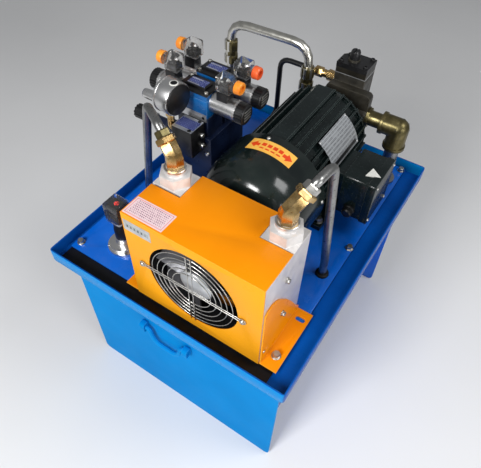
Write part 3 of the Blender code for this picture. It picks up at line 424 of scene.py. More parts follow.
def cylinder(radius, height, start=0.0):
    """The profile of a plain disc or rod."""
    return [(0, start), (radius, start), (radius, start + height), (0, start + height)]


def prism(outline, axis, low, high):
    """An outline of (a, b) pairs pushed along an axis. The pairs are the two other axes in order."""
    made = bmesh.new()
    index = "XYZ".index(axis)
    rings = []
    for along in (low, high):
        ring = []
        for pair in outline:
            co = list(pair)
            co.insert(index, along)
            ring.append(made.verts.new(co))
        rings.append(ring)
        made.faces.new(ring)
    for k in range(len(outline)):
        n = (k + 1) % len(outline)
        made.faces.new((rings[0][k], rings[0][n], rings[1][n], rings[1][k]))
    return outward(made)


def bent(points, radius, steps=6):
    """The points with every corner replaced by a smooth bend."""
    points = [Vector(p) for p in points]
    found = [points[0]]
    for before, corner, after in zip(points, points[1:], points[2:]):
        back, ahead = before - corner, after - corner
        reach = min(radius, back.length * 0.48, ahead.length * 0.48)
        start = corner + back.normalized() * reach
        end = corner + ahead.normalized() * reach
        for k in range(steps + 1):
            t = k / steps
            found.append(start * (1 - t) ** 2 + corner * 2 * t * (1 - t) + end * t * t)
    found.append(points[-1])
    return found


def sweep(path, radius, sides=20):
    """A round bar along a path."""
    made = bmesh.new()
    rings = []
    side = (path[1] - path[0]).orthogonal().normalized()
    for k, point in enumerate(path):
        tangent = (path[min(k + 1, len(path) - 1)] - path[max(k - 1, 0)]).normalized()
        side = (side - tangent * side.dot(tangent)).normalized()
        other = tangent.cross(side)
        ring = []
        for a in (2 * math.pi * n / sides for n in range(sides)):
            ring.append(made.verts.new(point + radius * (side * math.cos(a) + other * math.sin(a))))
        rings.append(ring)
    for first, second in zip(rings, rings[1:]):
        for k in range(sides):
            n = (k + 1) % sides
            made.faces.new((first[k], first[n], second[n], second[k]))
    made.faces.new(rings[0])
    made.faces.new(rings[-1])
    return outward(made)


def linked(name, data):
    obj = bpy.data.objects.new(name, data)
    bpy.context.scene.collection.objects.link(obj)
    return obj


def together(shapes):
    made = bmesh.new()
    for shape in shapes:
        held = bpy.data.meshes.new("held")
        shape.to_mesh(held)
        shape.free()
        made.from_mesh(held)
        bpy.data.meshes.remove(held)
    return made


def piece(name, shapes, finish, body="unit", stands_for=(), crease=35.0):
    """One visible piece: its shapes in one mesh, riding on a body."""
    made = together(shapes)
    mesh = bpy.data.meshes.new(name)
    made.to_mesh(mesh)
    made.free()
    mesh.polygons.foreach_set("use_smooth", [True] * len(mesh.polygons))
    mesh.set_sharp_from_angle(angle=math.radians(crease))
    mesh.materials.append(finish)
    obj = linked(name, mesh)
    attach(obj, body)
    if stands_for:
        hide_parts(*stands_for)
    return obj


def dress(names, finish, bevel=0.0, crease=35.0):
    """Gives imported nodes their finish, smooth round faces and slightly rounded edges."""
    for name in names:
        obj = NODES[name]
        mesh = obj.data
        for attribute in ("custom_normal", "sharp_edge", "sharp_face"):
            if attribute in mesh.attributes:
                mesh.attributes.remove(mesh.attributes[attribute])
        mesh.polygons.foreach_set("use_smooth", [True] * len(mesh.polygons))
        mesh.materials.clear()
        mesh.materials.append(finish)
        weld = obj.modifiers.new("weld", "WELD")
        weld.merge_threshold = 1e-5
        if bevel:
            rounding = obj.modifiers.new("rounding", "BEVEL")
            rounding.width = bevel
            rounding.segments = 2
            rounding.limit_method = "ANGLE"
            rounding.angle_limit = math.radians(50)
        split = obj.modifiers.new("split", "EDGE_SPLIT")
        split.split_angle = math.radians(crease)


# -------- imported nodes

dress(["tank_body", "rear_leg_plate", "cover_plate"], BLUE, 0.0008)
dress(["drip_tray"], TRAY_BLUE_SHADE_AND_LIGHT, 0.0008)
dress(["front_leg_plate", "handle_bail", "handle_bracket_left", "handle_bracket_right"], LIT_FRONT_BLUE)
dress(["cover_gasket"], RUBBER)
dress(["cooler_shroud"], ORANGE, 0.0008)
dress(["cooler_foot_left", "cooler_foot_right"], ORANGE, 0.0005)
dress(["cooler_end_tank_left", "cooler_end_tank_right"], CAST, 0.0009)
dress(["cooler_core"], CORE)
dress(["cooler_fan_frame", "motor_fan", "level_switch_float", "pump_adjusting_screw"], BLACK)
dress(["cooler_fan_rotor"], FAN)
dress(["level_switch_stem"], CHROME)
dress(["motor_frame", "motor_front_shield", "motor_rear_flange"], GREEN)
dress(["motor_terminal_box", "motor_terminal_lid"], GREEN, 0.0012)
dress(["motor_fan_cowl"], DOME, 0.0, 50.0)
dress(["motor_rotor_shaft", "suction_pipe"], STEEL)
dress(["return_tube_left", "return_tube_right"], STEEL, crease=70.0)
dress(["loop_tube"], LOOP_STEEL, crease=70.0)
dress(["motor_stator", "pump_rotor"], CORE)
dress(["pump_body", "pump_control_cap"], IRON, 0.0008)
dress(["suction_elbow"], OLIVE, 0.0006)
dress(["discharge_fitting"], BRASS, 0.0005)
dress(["pressure_tube", "relief_knob"], BLACK)
dress(["manifold_block", "sandwich_valve_front", "sandwich_valve_rear"], NAVY, 0.0006)
dress(["valve_body_front", "valve_body_rear"], VALVE, 0.0008)
dress(["gauge_block"], BLACK, 0.0008)
dress(["gauge_needle"], BLACK)

# -------- fasteners


def hex_bolt(point, across, height, direction=(0, 0, 1), phase=0.3):
    """A chamfered hexagon head on a washer, standing on a point."""
    radius = across / math.sqrt(3)
    top = WASHER + height
    head = [(0, WASHER), (radius * 0.97, WASHER), (radius, WASHER + height * 0.12),
            (radius, WASHER + height * 0.8), (radius * 0.86, top), (0, top)]
    rim = radius * 1.22
    washer = [(0, 0), (rim, 0), (rim, WASHER * 0.7), (rim * 0.95, WASHER), (0, WASHER)]
    return [lathe(head, point, direction, 6, phase), lathe(washer, point, direction, 28)]


def hex_nut(point, direction, radius, length):
    """A hexagon chamfered at both ends."""
    profile = [(0, 0), (radius * 0.9, 0), (radius, length * 0.12), (radius, length * 0.88),
               (radius * 0.9, length), (0, length)]
    return lathe(profile, point, direction, 6)


def socket_screw(point, radius, height, direction=(0, 0, 1)):
    """A round head with a deep recess."""
    hole = radius * 0.55
    profile = [(0, 0), (radius, 0), (radius, height * 0.85), (radius * 0.9, height), (hole, height)]
    profile += [(hole, height * 0.35), (0, height * 0.35)]
    return lathe(profile, point, direction, 24)


def cross_screw(point, radius, direction):
    """A domed head with a shallow dimple."""
    profile = [(0, 0), (radius, 0), (radius, radius * 0.25), (radius * 0.75, radius * 0.52)]
    profile += [(radius * 0.3, radius * 0.6), (radius * 0.22, radius * 0.4), (0, radius * 0.4)]
    return lathe(profile, point, direction, 20)


def deck_bolts():
    """The bolts of the cover, of the cooler's feet and of the motor's feet."""
    bolts = []
    for x in (cover_low.x + 0.011, cover_high.x - 0.007):
        for y in COVER_BOLT_Y:
            under_cooler = x > 0 and y < shroud_high.y
            if not under_cooler:
                bolts += hex_bolt((x, y, DECK + LIFT), 0.0115, 0.0065, phase=y * 9)
    piece("cover_bolts", bolts, ZINC)
    bolts = []
    for name, sign in SIDES:
        low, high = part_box(f"cooler_foot_{name}")
        outer = high.x if sign > 0 else low.x
        bolts += hex_bolt((outer - sign * 0.0155, low.y + 0.027, DECK + FOOT_PLATE), 0.0120, 0.0070)
    piece("cooler_foot_bolts", bolts, ZINC)
    bolts = []
    for sign in (-1, 1):
        for y in MOTOR_BOLT_Y:
            bolts += hex_bolt((motor.x + sign * MOTOR_BOLT_X, y, DECK + MOTOR_PAD), 0.013, 0.008)
    piece("motor_foot_bolts", bolts, ZINC)


# -------- cooler


def guard():
    """Round wires in the fan opening and a cross of paired wires that ends in two screwed ears."""
    y = shroud_low.y - 0.0019
    section = [(WIRE_R * math.cos(math.pi / 4 * k), WIRE_R * math.sin(math.pi / 4 * k)) for k in range(8)]
    rings = []
    for k in range(5):
        radius = GUARD_R - GUARD_PITCH * k
        loop = [(radius + out, along) for out, along in section]
        rings.append(lathe(loop, (fan.x, shroud_low.y + 0.0006, fan.z), (0, 1, 0), 96))
    wires, ears, screws = [], [], []
    for sign in (-1, 1):
        x, z = fan.x + sign * 0.0042, fan.z + sign * 0.0028
        across = [(fan.x - CROSS_X, y, z), (fan.x + CROSS_X, y, z)]
        upright = [(x, y, fan.z - CROSS_Z), (x, y, fan.z + CROSS_Z)]
        wires += [sweep([Vector(p) for p in ends], WIRE_R, 12) for ends in (across, upright)]
        ear_x = fan.x + sign * (CROSS_X + 0.0030)
        tab = [(0, 0), (0.0062, 0), (0.0062, 0.0018), (0.0056, 0.0021), (0, 0.0021)]
        ears.append(lathe(tab, (ear_x, y + 0.0013, fan.z), (0, -1, 0), 28))
        screws.append(cross_screw((ear_x, y - 0.0009, fan.z), 0.0046, (0, -1, 0)))
    piece("fan_guard_wires", rings + wires, GUARD, stands_for=["cooler_fan_guard"], crease=60)
    piece("fan_guard_ears", ears + screws, ZINC)


def cooler_sticker():
    """The sticker on top of the cooler, with a border and rows of dashes."""
    corner = Vector((shroud_low.x + 0.002, shroud_low.y + 0.0028, shroud_high.z))
    wide, deep = 0.0755, 0.0375
    piece("cooler_sticker", [sheet(corner, corner + Vector((wide, deep, 0.0004)))], STICKER_GROUND)
    inset, line = 0.0026, 0.0008
    low = corner + Vector((inset, inset, 0.0004))
    high = corner + Vector((wide - inset, deep - inset, 0.0006))
    border = [sheet(low, (high.x, low.y + line, high.z)), sheet((low.x, high.y - line, low.z), high)]
    border += [sheet(low, (low.x + line, high.y, high.z)), sheet((high.x - line, low.y, low.z), high)]
    piece("cooler_sticker_border", border, STICKER_LINE)
    text = sheet(low + Vector((0.004, 0.0024, 0)), (high.x - 0.004, high.y - 0.0024, high.z - 0.0001))
    piece("cooler_sticker_print", [text], STICKER)


def cooler_trim():
    """The tag on the cooler's front, the screws in its side, and the badge on the fan's hub."""
    top, front, left = shroud_high.z, shroud_low.y, shroud_low.x
    tag = sheet((left + 0.003, front - 0.0005, top - 0.036), (left + 0.056, front, top - 0.012))
    piece("cooler_front_tag", [tag], SILVER)
    row = sheet((left + 0.007, front - 0.0007, top - 0.0285), (left + 0.052, front - 0.0005, top - 0.0195))
    piece("cooler_front_print", [row], FRONT_TAG)
    side, foot_face = shroud_high.x, shroud_high.x + 0.0029
    screws = hex_bolt((side, front + 0.0670, top - 0.0520), 0.0075, 0.0045, (1, 0, 0))
    screws += hex_bolt((foot_face, front + 0.0615, top - 0.1340), 0.0075, 0.0045, (1, 0, 0))
    screws.append(cross_screw((foot_face, front + 0.0106, top - 0.1830), 0.0030, (1, 0, 0)))
    piece("cooler_side_screws", screws, ZINC)
    hub = [(0, 0), (0.0295, 0), (0.0305, 0.001), (0.0305, 0.0022), (0.026, 0.0034), (0, 0.0034)]
    hub_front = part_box("cooler_fan_rotor")[0].y
    piece("fan_hub_badge", [lathe(hub, (fan.x, hub_front + 0.0005, fan.z), (0, -1, 0))], SILVER,
          body="fan_rotor")


def side_sheets():
    """The bare rolled sides of the cooler, a hair proud of the end tanks they cover. Their pinkish tint is a
    painted reflection of the pale ground.
    """
    for name, sign in SIDES:
        low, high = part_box(f"cooler_end_tank_{name}")
        x = high.x if sign > 0 else low.x
        x0, x1 = sorted((x - sign * 0.0004, x + sign * 0.0002))
        near = (x0, shroud_low.y + 0.0026, shroud_low.z + 0.0026)
        bare = sheet(near, (x1, high.y - 0.0004, shroud_high.z - 0.0026))
        piece(f"cooler_side_{name}", [bare], PINKISH_SIDE_METAL)


def boss_collars():
    """The bright turned rings at the top of the two cast bosses."""
    ring = [(0.0146, 0), (0.0183, 0), (0.0183, 0.0030), (0.0175, 0.0036), (0.0146, 0.0036)]
    rings = []
    for name, x in PORT_X.items():
        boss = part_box(f"cooler_end_tank_{name}")[1].z
        rings.append(lathe(ring, (x, PORT_Y, boss - 0.0032)))
    piece("boss_rings", rings, CHROME)


def adapters():
    """Angled brass adapters on the bosses. Each ends in a nut, dark on the left and pale on the right."""
    for name, finish in (("left", OLIVE), ("right", ZINC)):
        knee = Vector((PORT_X[name], PORT_Y, KNEE_Z))
        ahead, reach = AHEAD[name], REACH[name]
        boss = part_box(f"cooler_end_tank_{name}")[1].z
        rise = KNEE_Z - boss
        foot = [(0, LIFT), (0.0142, LIFT), (0.0152, 0.0016), (0.0152, rise - 0.001), (0.0118, rise + 0.0075),
                (0, rise + 0.0075)]
        body = [(0, -0.006), (0.0120, -0.006), (0.0142, 0.0015), (0.0142, reach - 0.0225),
                (0.0128, reach - 0.0205), (0, reach - 0.0205)]
        collar = [(0, reach - 0.022), (0.0150, reach - 0.022), (0.0166, reach - 0.0205),
                  (0.0166, reach - 0.0130), (0.0150, reach - 0.0115), (0, reach - 0.0115)]
        shapes = [lathe(foot, (knee.x, knee.y, boss), UP, 6, 0.35)]
        shapes += [lathe(body, knee, ahead, 6, 0.5), lathe(collar, knee, ahead, 6, 0.1)]
        piece(f"adapter_{name}", shapes, BRASS, stands_for=[f"return_adapter_{name}"])
        nut = [(0.0078, 0), (0.0118, 0), (0.0128, 0.0012), (0.0128, 0.0104), (0.0112, 0.0122),
               (0.0078, 0.0122)]
        start = knee + ahead * (reach - 0.012)
        piece(f"adapter_nut_{name}", [lathe(nut, start, ahead, 6, 0.2)], finish)


# -------- motor


def around(degrees, radius, y):
    """A point on a cylinder about the motor's axis. The angle runs from the top towards +X."""
    a = math.radians(degrees)
    return Vector((motor.x + radius * math.sin(a), y, motor.z + radius * math.cos(a)))


def straight_out(degrees):
    return around(degrees, 1, 0) - around(degrees, 0, 0)


def span(first, last, start, end):
    """The outline of a label between two angles and two distances along the motor."""
    return [(first, start), (last, start), (last, end), (first, end)]


def wrapped(outline, inner, outer, step=3.0):
    """An outline of (degrees, y) pairs laid on the cylinder as a thin curved sheet."""
    made = bmesh.new()
    made.faces.new([made.verts.new((a, y, 0)) for a, y in outline])
    first = min(a for a, _ in outline)
    last = max(a for a, _ in outline)
    for k in range(1, int((last - first) / step) + 1):
        everything = made.verts[:] + made.edges[:] + made.faces[:]
        bmesh.ops.bisect_plane(made, geom=everything, plane_co=(first + k * step, 0, 0), plane_no=(1, 0, 0))
    flat = bmesh.ops.extrude_face_region(made, geom=made.faces[:])
    for vert in [g for g in flat["geom"] if isinstance(g, bmesh.types.BMVert)]:
        vert.co.z = 1.0
    for vert in made.verts:
        vert.co = around(vert.co.x, outer if vert.co.z > 0.5 else inner, vert.co.y)
    return outward(made)


def arrow(tip, tail, y, half):
    """A fat arrow along the arc, from its tail to its tip, in degrees."""
    neck = tip - math.copysign(6.5, tip - tail)
    shaft = half * 0.42
    return [(tail, y - shaft), (neck, y - shaft), (neck, y - half), (tip, y), (neck, y + half),
            (neck, y + shaft), (tail, y + shaft)]


def rotation_label():
    """The yellow label on the cowl, with two arrows and rows of plain blocks between them."""
    label = span(-22, 27, -0.0495, -0.0180)
    piece("rotation_label", [wrapped(label, cowl_r, cowl_r + 0.0003)], PATCH_YELLOW)
    marks = [arrow(-20.5, -10.5, -0.0338, 0.0092), arrow(25.5, 15.0, -0.0338, 0.0092)]
    for k in range(4):
        first = -8.5 + 6.0 * k
        marks += [span(first, first + 4.2, -0.0425, -0.0395), span(first, first + 4.4, -0.0345, -0.0265)]
    piece("rotation_marks", [wrapped(mark, cowl_r + 0.0002, cowl_r + 0.0005) for mark in marks], PATCH_RED)


def rating_plate():
    """The riveted plate across the fins."""
    first, last, start, end = 33, 71, 0.055, 0.163
    plate = wrapped(span(first, last, start, end), FIN_R, FIN_R + 0.0009)
    piece("rating_plate", [plate], RATING)
    strip = span(last - 7, last - 2.5, start + 0.008, end - 0.008)
    piece("rating_plate_strip", [wrapped(strip, FIN_R + 0.0007, FIN_R + 0.0011)], BLACK)
    rivets = [cross_screw(around(a, FIN_R + 0.0008, y), 0.0022, straight_out(a))
              for a in (first + 1.6, last - 1.3) for y in (start + 0.0028, end - 0.0028)]
    piece("rating_rivets", rivets, CHROME)


def motor_screws():
    screws = [cross_screw(around(a, cowl_r, -0.0120), 0.0042, straight_out(a)) for a in (-8, 82, 172, 262)]
    piece("cowl_screws", screws, ZINC)


def terminal_box():
    """The lid's screws, the pale patch on top of the lid, and the cable gland in the box's side."""
    low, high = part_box("motor_terminal_lid")
    screws = [cross_screw((high.x, y, z), 0.0036, (1, 0, 0))
              for y in (low.y + 0.010, high.y - 0.010) for z in (low.z + 0.010, high.z - 0.010)]
    piece("terminal_lid_screws", screws, ZINC)
    mark = [(high.x - 0.030, low.y + 0.020), (high.x - 0.004, low.y + 0.030), (high.x - 0.026, low.y + 0.046)]
    piece("terminal_patch", [prism(mark, "Z", high.z - 0.0016, high.z + 0.0003)], PATCH_PALE)
    gland = [(0, 0), (0.0115, 0), (0.0115, 0.004), (0.0100, 0.005), (0.0100, 0.014), (0.0075, 0.016),
             (0, 0.016)]
    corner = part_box("motor_terminal_box")[0]
    piece("terminal_gland", [lathe(gland, corner + Vector((0.0257, 0, 0.022)), (0, -1, 0), 32)], BLACK)


# -------- pump and pipes


def pump_trim():
    """The control cap's lid, joint line and screws, the pressure screw's grip, and the flange's screws."""
    low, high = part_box("pump_control_cap")
    top = high.z - 0.004
    places = ((low.x + 0.007, low.y + 0.007), (high.x - 0.007, low.y + 0.007),
              (high.x - 0.007, high.y - 0.007), (low.x + 0.013, high.y - 0.013))
    screws = [socket_screw((x, y, top), 0.0046, 0.0042) for x, y in places]
    piece("pump_cap_screws", screws, BLACK)
    seam = [(low.x - LIFT, low.y - LIFT), (high.x + LIFT, low.y - LIFT), (high.x + LIFT, high.y + LIFT),
            (low.x + 0.016, high.y + LIFT), (low.x - LIFT, high.y - 0.016)]
    piece("pump_joint_line", [prism(seam, "Z", low.z - 0.0012, low.z + 0.0004)], SILVER)
    piece("pump_black_lid", [prism(seam, "Z", top - 0.010, top + 0.0003)], BLACK)
    grip = [(0, 0), (0.0098, 0), (0.0101, 0.002), (0.0101, 0.012), (0.0088, 0.0150), (0, 0.0150)]
    screw = middle("pump_adjusting_screw")
    grip = lathe(grip, (screw.x, screw.y, top + 0.0044), UP, 12)
    piece("pump_screw_grip", [grip], BLACK, body="adjusting_screw")
    seal = [(0.0135, 0), (0.0155, 0), (0.0155, 0.0022), (0.0135, 0.0022)]
    port = middle("discharge_fitting")
    seal = lathe(seal, (low.x - 0.0027, port.y, port.z), (1, 0, 0), 40)
    piece("discharge_seal", [seal], PATCH_PALE)
    bolts = [socket_screw((x, low.y + 0.0005, z), 0.0055, 0.006, (0, 1, 0))
             for x in PUMP_SCREW_X for z in PUMP_SCREW_Z]
    piece("pump_flange_screws", bolts, ZINC)


def loop_fittings():
    """The unions near the tops of the loop's legs."""
    shapes = []
    for x in (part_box("loop_tube")[0].x + 0.0155, LOOP_RIGHT_X):
        shapes.append(hex_nut((x, LOOP_Y, UNION_Z), UP, 0.0157, 0.0204))
        shapes.append(lathe(cylinder(0.0130, 0.014), (x, LOOP_Y, UNION_Z + 0.0180), UP, 32))
        shapes.append(hex_nut((x, LOOP_Y, UNION_Z + 0.0300), UP, 0.0150, 0.0244))
    piece("loop_unions", shapes, OLIVE)


def foot_of(node):
    """The plan position of a tube's lower end."""
    points = [v.co for v in NODES[node].data.vertices]
    floor = min(p.z for p in points)
    ends = [p for p in points if p.z < floor + 1e-4]
    xs, ys = [p.x for p in ends], [p.y for p in ends]
    return (min(xs) + max(xs)) / 2, (min(ys) + max(ys)) / 2


def tube_collars():
    """Rubber grommets where the tubes pass down through the cover."""
    bore = RETURN_R + LIFT
    ring = [(bore, 0), (RETURN_R + 0.0055, 0), (RETURN_R + 0.0050, 0.0035), (RETURN_R + 0.0015, 0.0050),
            (bore, 0.0050)]
    rings = [lathe(ring, (*foot_of(f"return_tube_{name}"), DECK), UP, 40) for name, _ in SIDES]
    piece("tube_grommets", rings, RUBBER)


# -------- valves


def gear(radius, depth, teeth, y, z):
    """Outline of a knurled cap, as (y, z) pairs."""
    outline = []
    for k in range(teeth):
        for shift, r in ((0.0, radius), (0.45, radius), (0.55, radius - depth), (0.9, radius - depth)):
            a = 2 * math.pi * (k + shift) / teeth
            outline.append((y + r * math.cos(a), z + r * math.sin(a)))
    return outline


def solenoid(station, name, sign, valve):
    """A bright coil with a flange ring, a knurled cap, and the black socket that carries the plug."""
    which = f"{station}_{name}"
    low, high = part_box(f"solenoid_{which}")
    y, z = valve.y, low.z + 0.0195
    inner = low.x if sign > 0 else high.x
    far = inner + sign * 0.0668
    out = (sign, 0, 0)
    coil = [(0, 0), (0.0183, 0), (0.0183, 0.0455), (0.0194, 0.0462), (0.0194, 0.0492), (0.0183, 0.0499),
            (0.0183, 0.0522), (0, 0.0522)]
    piece(f"coil_{which}", [lathe(coil, (inner, y, z), out, 56)], CHROME, stands_for=[f"solenoid_{which}"])
    knurled = prism(gear(0.0193, 0.0012, 22, y, z), "X", *sorted((inner + sign * 0.0518, far)))
    lip = lathe([(0, 0), (0.0178, 0), (0.0178, 0.0010), (0.0160, 0.0024), (0, 0.0024)], (far, y, z), out)
    piece(f"coil_cap_{which}", [knurled, lip], BLACK)
    # The ribs are bright zinc on the black cap: painted highlights along the cap's ribs.
    x0, x1 = sorted((far + sign * 0.0010, far + sign * 0.0034))
    ribs = [block((x0, y - 0.010, z + dz), (x1, y + 0.010, z + dz + 0.0024), 0.0004)
            for dz in (-0.0088, -0.0033, 0.0022, 0.0077)]
    piece(f"coil_cap_rib_highlights_{which}", ribs, ZINC)
    x0, x1 = sorted((inner + sign * 0.0117, inner + sign * 0.0332))
    top = middle(f"plug_{which}").z - 0.0149
    socket = block((x0, y - 0.011, z + 0.010), (x1, y + 0.011, top), 0.0008)
    piece(f"coil_socket_{which}", [socket], BLACK)


def plug(station, name, sign, valve):
    """A clear plug: its shell, the dark insert with two bright screws inside it, and its cable gland."""
    which = f"{station}_{name}"
    low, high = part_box(f"plug_{which}")
    y, z = valve.y, low.z
    near = low.x if sign > 0 else high.x
    far = near + sign * 0.0286
    x0, x1 = sorted((near, far))
    shell = block((x0, y - 0.0125, z), (x1, y + 0.0125, z + 0.029), 0.0028, 3)
    piece(f"plug_shell_{which}", [shell], CLEAR, stands_for=[f"plug_{which}"])
    insert = [block((x0 + 0.0045, y - 0.0085, z + 0.002), (x1 - 0.0045, y + 0.0085, z + 0.0125), 0.0008)]
    insert.append(block((x0 + 0.007, y - 0.0055, z + 0.0123), (x1 - 0.009, y + 0.0055, z + 0.0175), 0.0006))
    piece(f"plug_insert_{which}", insert, BLACK)
    screws = [cross_screw((x0 + dx, y + dy, z + 0.0174), 0.0024, UP)
              for dx, dy in ((0.010, -0.003), (0.0165, 0.003))]
    piece(f"plug_screws_{which}", screws, CHROME)
    gland = (far - sign * 0.001, y, z + 0.0145)
    collar = [(0, 0), (0.0104, 0), (0.0104, 0.006), (0.0088, 0.0066), (0.0088, 0.0080), (0, 0.0080)]
    piece(f"gland_collar_{which}", [lathe(collar, gland, (sign, 0, 0), 40)], CLEAR)
    nut = [(0, 0), (0.0112, 0), (0.0118, 0.001), (0.0112, 0.0105), (0.0098, 0.0122), (0.0058, 0.0122),
           (0.0058, 0.0070), (0, 0.0070)]
    start = (gland[0] + sign * 0.0078, gland[1], gland[2])
    finish = REDDISH if which == "rear_right" else AMBER
    piece(f"gland_nut_{which}", [lathe(nut, start, (sign, 0, 0), 14)], finish)


def valve_trim(station, valve):
    """The dark lid with its label and bright strips, and the screws of one valve."""
    low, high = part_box(f"valve_body_{station}")
    x, y, top = valve.x, valve.y, high.z
    lid = block((low.x + 0.0004, low.y + 0.0012, top - 0.0085), high - Vector((0.0004, 0.0012, 0.0044)))
    cap = block((x - 0.0222, y - 0.0122, top - 0.0048), (x + 0.0222, y + 0.0122, top + 0.0002), 0.0008)
    piece(f"valve_lid_{station}", [lid, cap], BLACK)
    label = sheet((x - 0.018, y - 0.0095, top + 0.0001), (x + 0.018, y + 0.0095, top + 0.0006))
    piece(f"valve_label_{station}", [label], VALVE_LABEL)
    strips = [sheet((x - 0.018, y + dy, top + 0.0004), (x + 0.006, y + dy + 0.0022, top + 0.0008))
              for dy in (-0.0094, 0.0050)]
    piece(f"valve_strips_{station}", strips, SILVER)
    screws = [socket_screw((x + dx, y + dy, top - 0.0045), 0.0036, 0.0030)
              for dx in (-0.0275, 0.0275) for dy in (-0.0165, 0.0165)]
    piece(f"valve_screws_{station}", screws, ZINC)


def front_tag(valve):
    """The plain tag on the front of the valve stack, with its hole."""
    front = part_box("valve_body_front")[0].y - 0.0006
    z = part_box("sandwich_valve_front")[1].z
    tag = sheet((valve.x - 0.024, front, z - 0.007), (valve.x + 0.031, front + 0.0006, z + 0.008))
    piece("valve_front_tag", [tag], SILVER)
    hole = lathe(cylinder(0.0028, 0.0004), (valve.x + 0.024, front, z), (0, -1, 0), 24)
    piece("valve_front_tag_hole", [hole], BLACK)


def sandwich_trim(station):
    """The bright lock nut and stem at the left end of a sandwich valve's adjuster."""
    at = (ADJUSTER_X, middle(f"sandwich_valve_{station}").y, SANDWICH_Z)
    stem = [(0, 0), (0.0100, 0), (0.0100, 0.022), (0.0092, 0.0333), (0.0050, 0.0345), (0, 0.0345)]
    shapes = [hex_nut(at, (-1, 0, 0), 0.0127, 0.0114), lathe(stem, (at[0] - 0.0100, *at[1:]), (-1, 0, 0), 32)]
    piece(f"adjuster_{station}", shapes, CHROME)


def valves():
    for station in STATIONS:
        valve = middle(f"valve_body_{station}")
        for name, sign in SIDES:
            solenoid(station, name, sign, valve)
            plug(station, name, sign, valve)
        valve_trim(station, valve)
        if station == "front":
            front_tag(valve)
        sandwich_trim(station)


# -------- gauge


def gauge():
    """A polished case with a back painted black for the shade on it, a bezel, a dial with ticks, a glass, and
    a bung on top.
    """
    r = GAUGE_R
    case = [(0, -0.0150), (r - 0.0035, -0.0150), (r - 0.0008, -0.0142), (r, -0.0125), (r, 0.0125),
            (r + 0.0013, 0.0130), (r + 0.0013, 0.0162), (r + 0.0004, 0.0171), (r - 0.0022, 0.0171),
            (r - 0.0022, 0.0118), (0, 0.0118)]
    piece("gauge_case", [lathe(case, GAUGE, FACING, 96)], CHROME, stands_for=["pressure_gauge"])
    # Painted shade: the back is black where its face is only shaded.
    back = [(0, -0.0171), (r - 0.0040, -0.0171), (r - 0.0026, -0.0163), (r - 0.0026, -0.0148), (0, -0.0148)]
    piece("gauge_back_painted_shade", [lathe(back, GAUGE, FACING, 72)], BLACK)
    dial = cylinder(r - 0.0024, 0.0004, 0.0117)
    piece("gauge_dial", [lathe(dial, GAUGE, FACING, 72)], DIAL)
    right = UP.cross(FACING).normalized()
    ticks = []
    for k in range(28):
        a = math.radians(225 - 10 * k)
        along = right * math.cos(a) + UP * math.sin(a)
        length = 0.0042 if k % 3 == 0 else 0.0024
        base = GAUGE + FACING * 0.0122 + along * (r - 0.0045 - length)
        ticks.append(lathe(cylinder(0.00028, length), base, along, 6))
    piece("gauge_ticks", ticks, BLACK)
    glass = cylinder(r - 0.0024, 0.0008, 0.0156)
    piece("gauge_glass", [lathe(glass, GAUGE, FACING, 72)], CLEAR)
    spot = GAUGE - FACING * 0.0075 + UP * (r - 0.0012)
    bung = [(0, 0), (0.0062, 0), (0.0062, 0.0015), (0.0048, 0.0026), (0, 0.0028)]
    piece("gauge_bung", [lathe(bung, spot, UP, 32)], RUBBER)
    ring = [(0.0060, 0), (0.0078, 0), (0.0076, 0.0015), (0.0060, 0.0017)]
    piece("gauge_bung_ring", [lathe(ring, spot, UP, 32)], PATCH_PALE)


def gauge_stem():
    """The brass stem below the gauge, which turns into the gauge block."""
    low = GAUGE.z - GAUGE_R
    block_x = STEM_X + 0.0082
    corners = [(STEM_X, GAUGE.y, low - 0.006), (STEM_X, GAUGE.y, STEM_Z), (block_x, GAUGE.y, STEM_Z)]
    path = bent(corners, 0.006)
    stem = [hex_nut((STEM_X, GAUGE.y, low - 0.011), UP, 0.0090, 0.014), sweep(path, 0.0066, 24)]
    stem.append(hex_nut((block_x - 0.0042, GAUGE.y, STEM_Z), (1, 0, 0), 0.0082, 0.0042))
    piece("gauge_stem", stem, BRASS)


def gauge_block_trim():
    """The label plate on top of the gauge block, the screws on its right face, and one in the manifold."""
    low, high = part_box("gauge_block")
    plate = sheet((low.x + 0.0005, low.y + 0.001, high.z), (high.x - 0.0005, high.y - 0.001, high.z + 0.0005))
    piece("block_plate", [plate], SILVER)
    label = sheet((low.x + 0.002, low.y + 0.009, high.z + 0.0004), high + Vector((-0.002, -0.0075, 0.0008)))
    piece("block_label", [label], VALVE_LABEL)
    holes = [lathe(cylinder(0.0034, 0.0012), (high.x - 0.0075, y, high.z + 0.0002), UP, 24)
             for y in (low.y + 0.005, high.y - 0.0045)]
    piece("block_holes", holes, BLACK)
    screws = [socket_screw((high.x, high.y - 0.0107, high.z - drop), 0.0048, 0.0050, (1, 0, 0))
              for drop in (0.0210, 0.0440)]
    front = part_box("manifold_block")[0].y
    screws.append(socket_screw((high.x + 0.0055, front, low.z - 0.0120), 0.0040, 0.0040, (0, -1, 0)))
    piece("block_screws", screws, ZINC)


def relief_trim():
    knob = middle("relief_knob")
    nut = hex_nut((ADJUSTER_X - 0.0072, knob.y, knob.z), (-1, 0, 0), 0.0115, 0.007)
    piece("relief_lock_nut", [nut], CHROME)


# -------- level switch


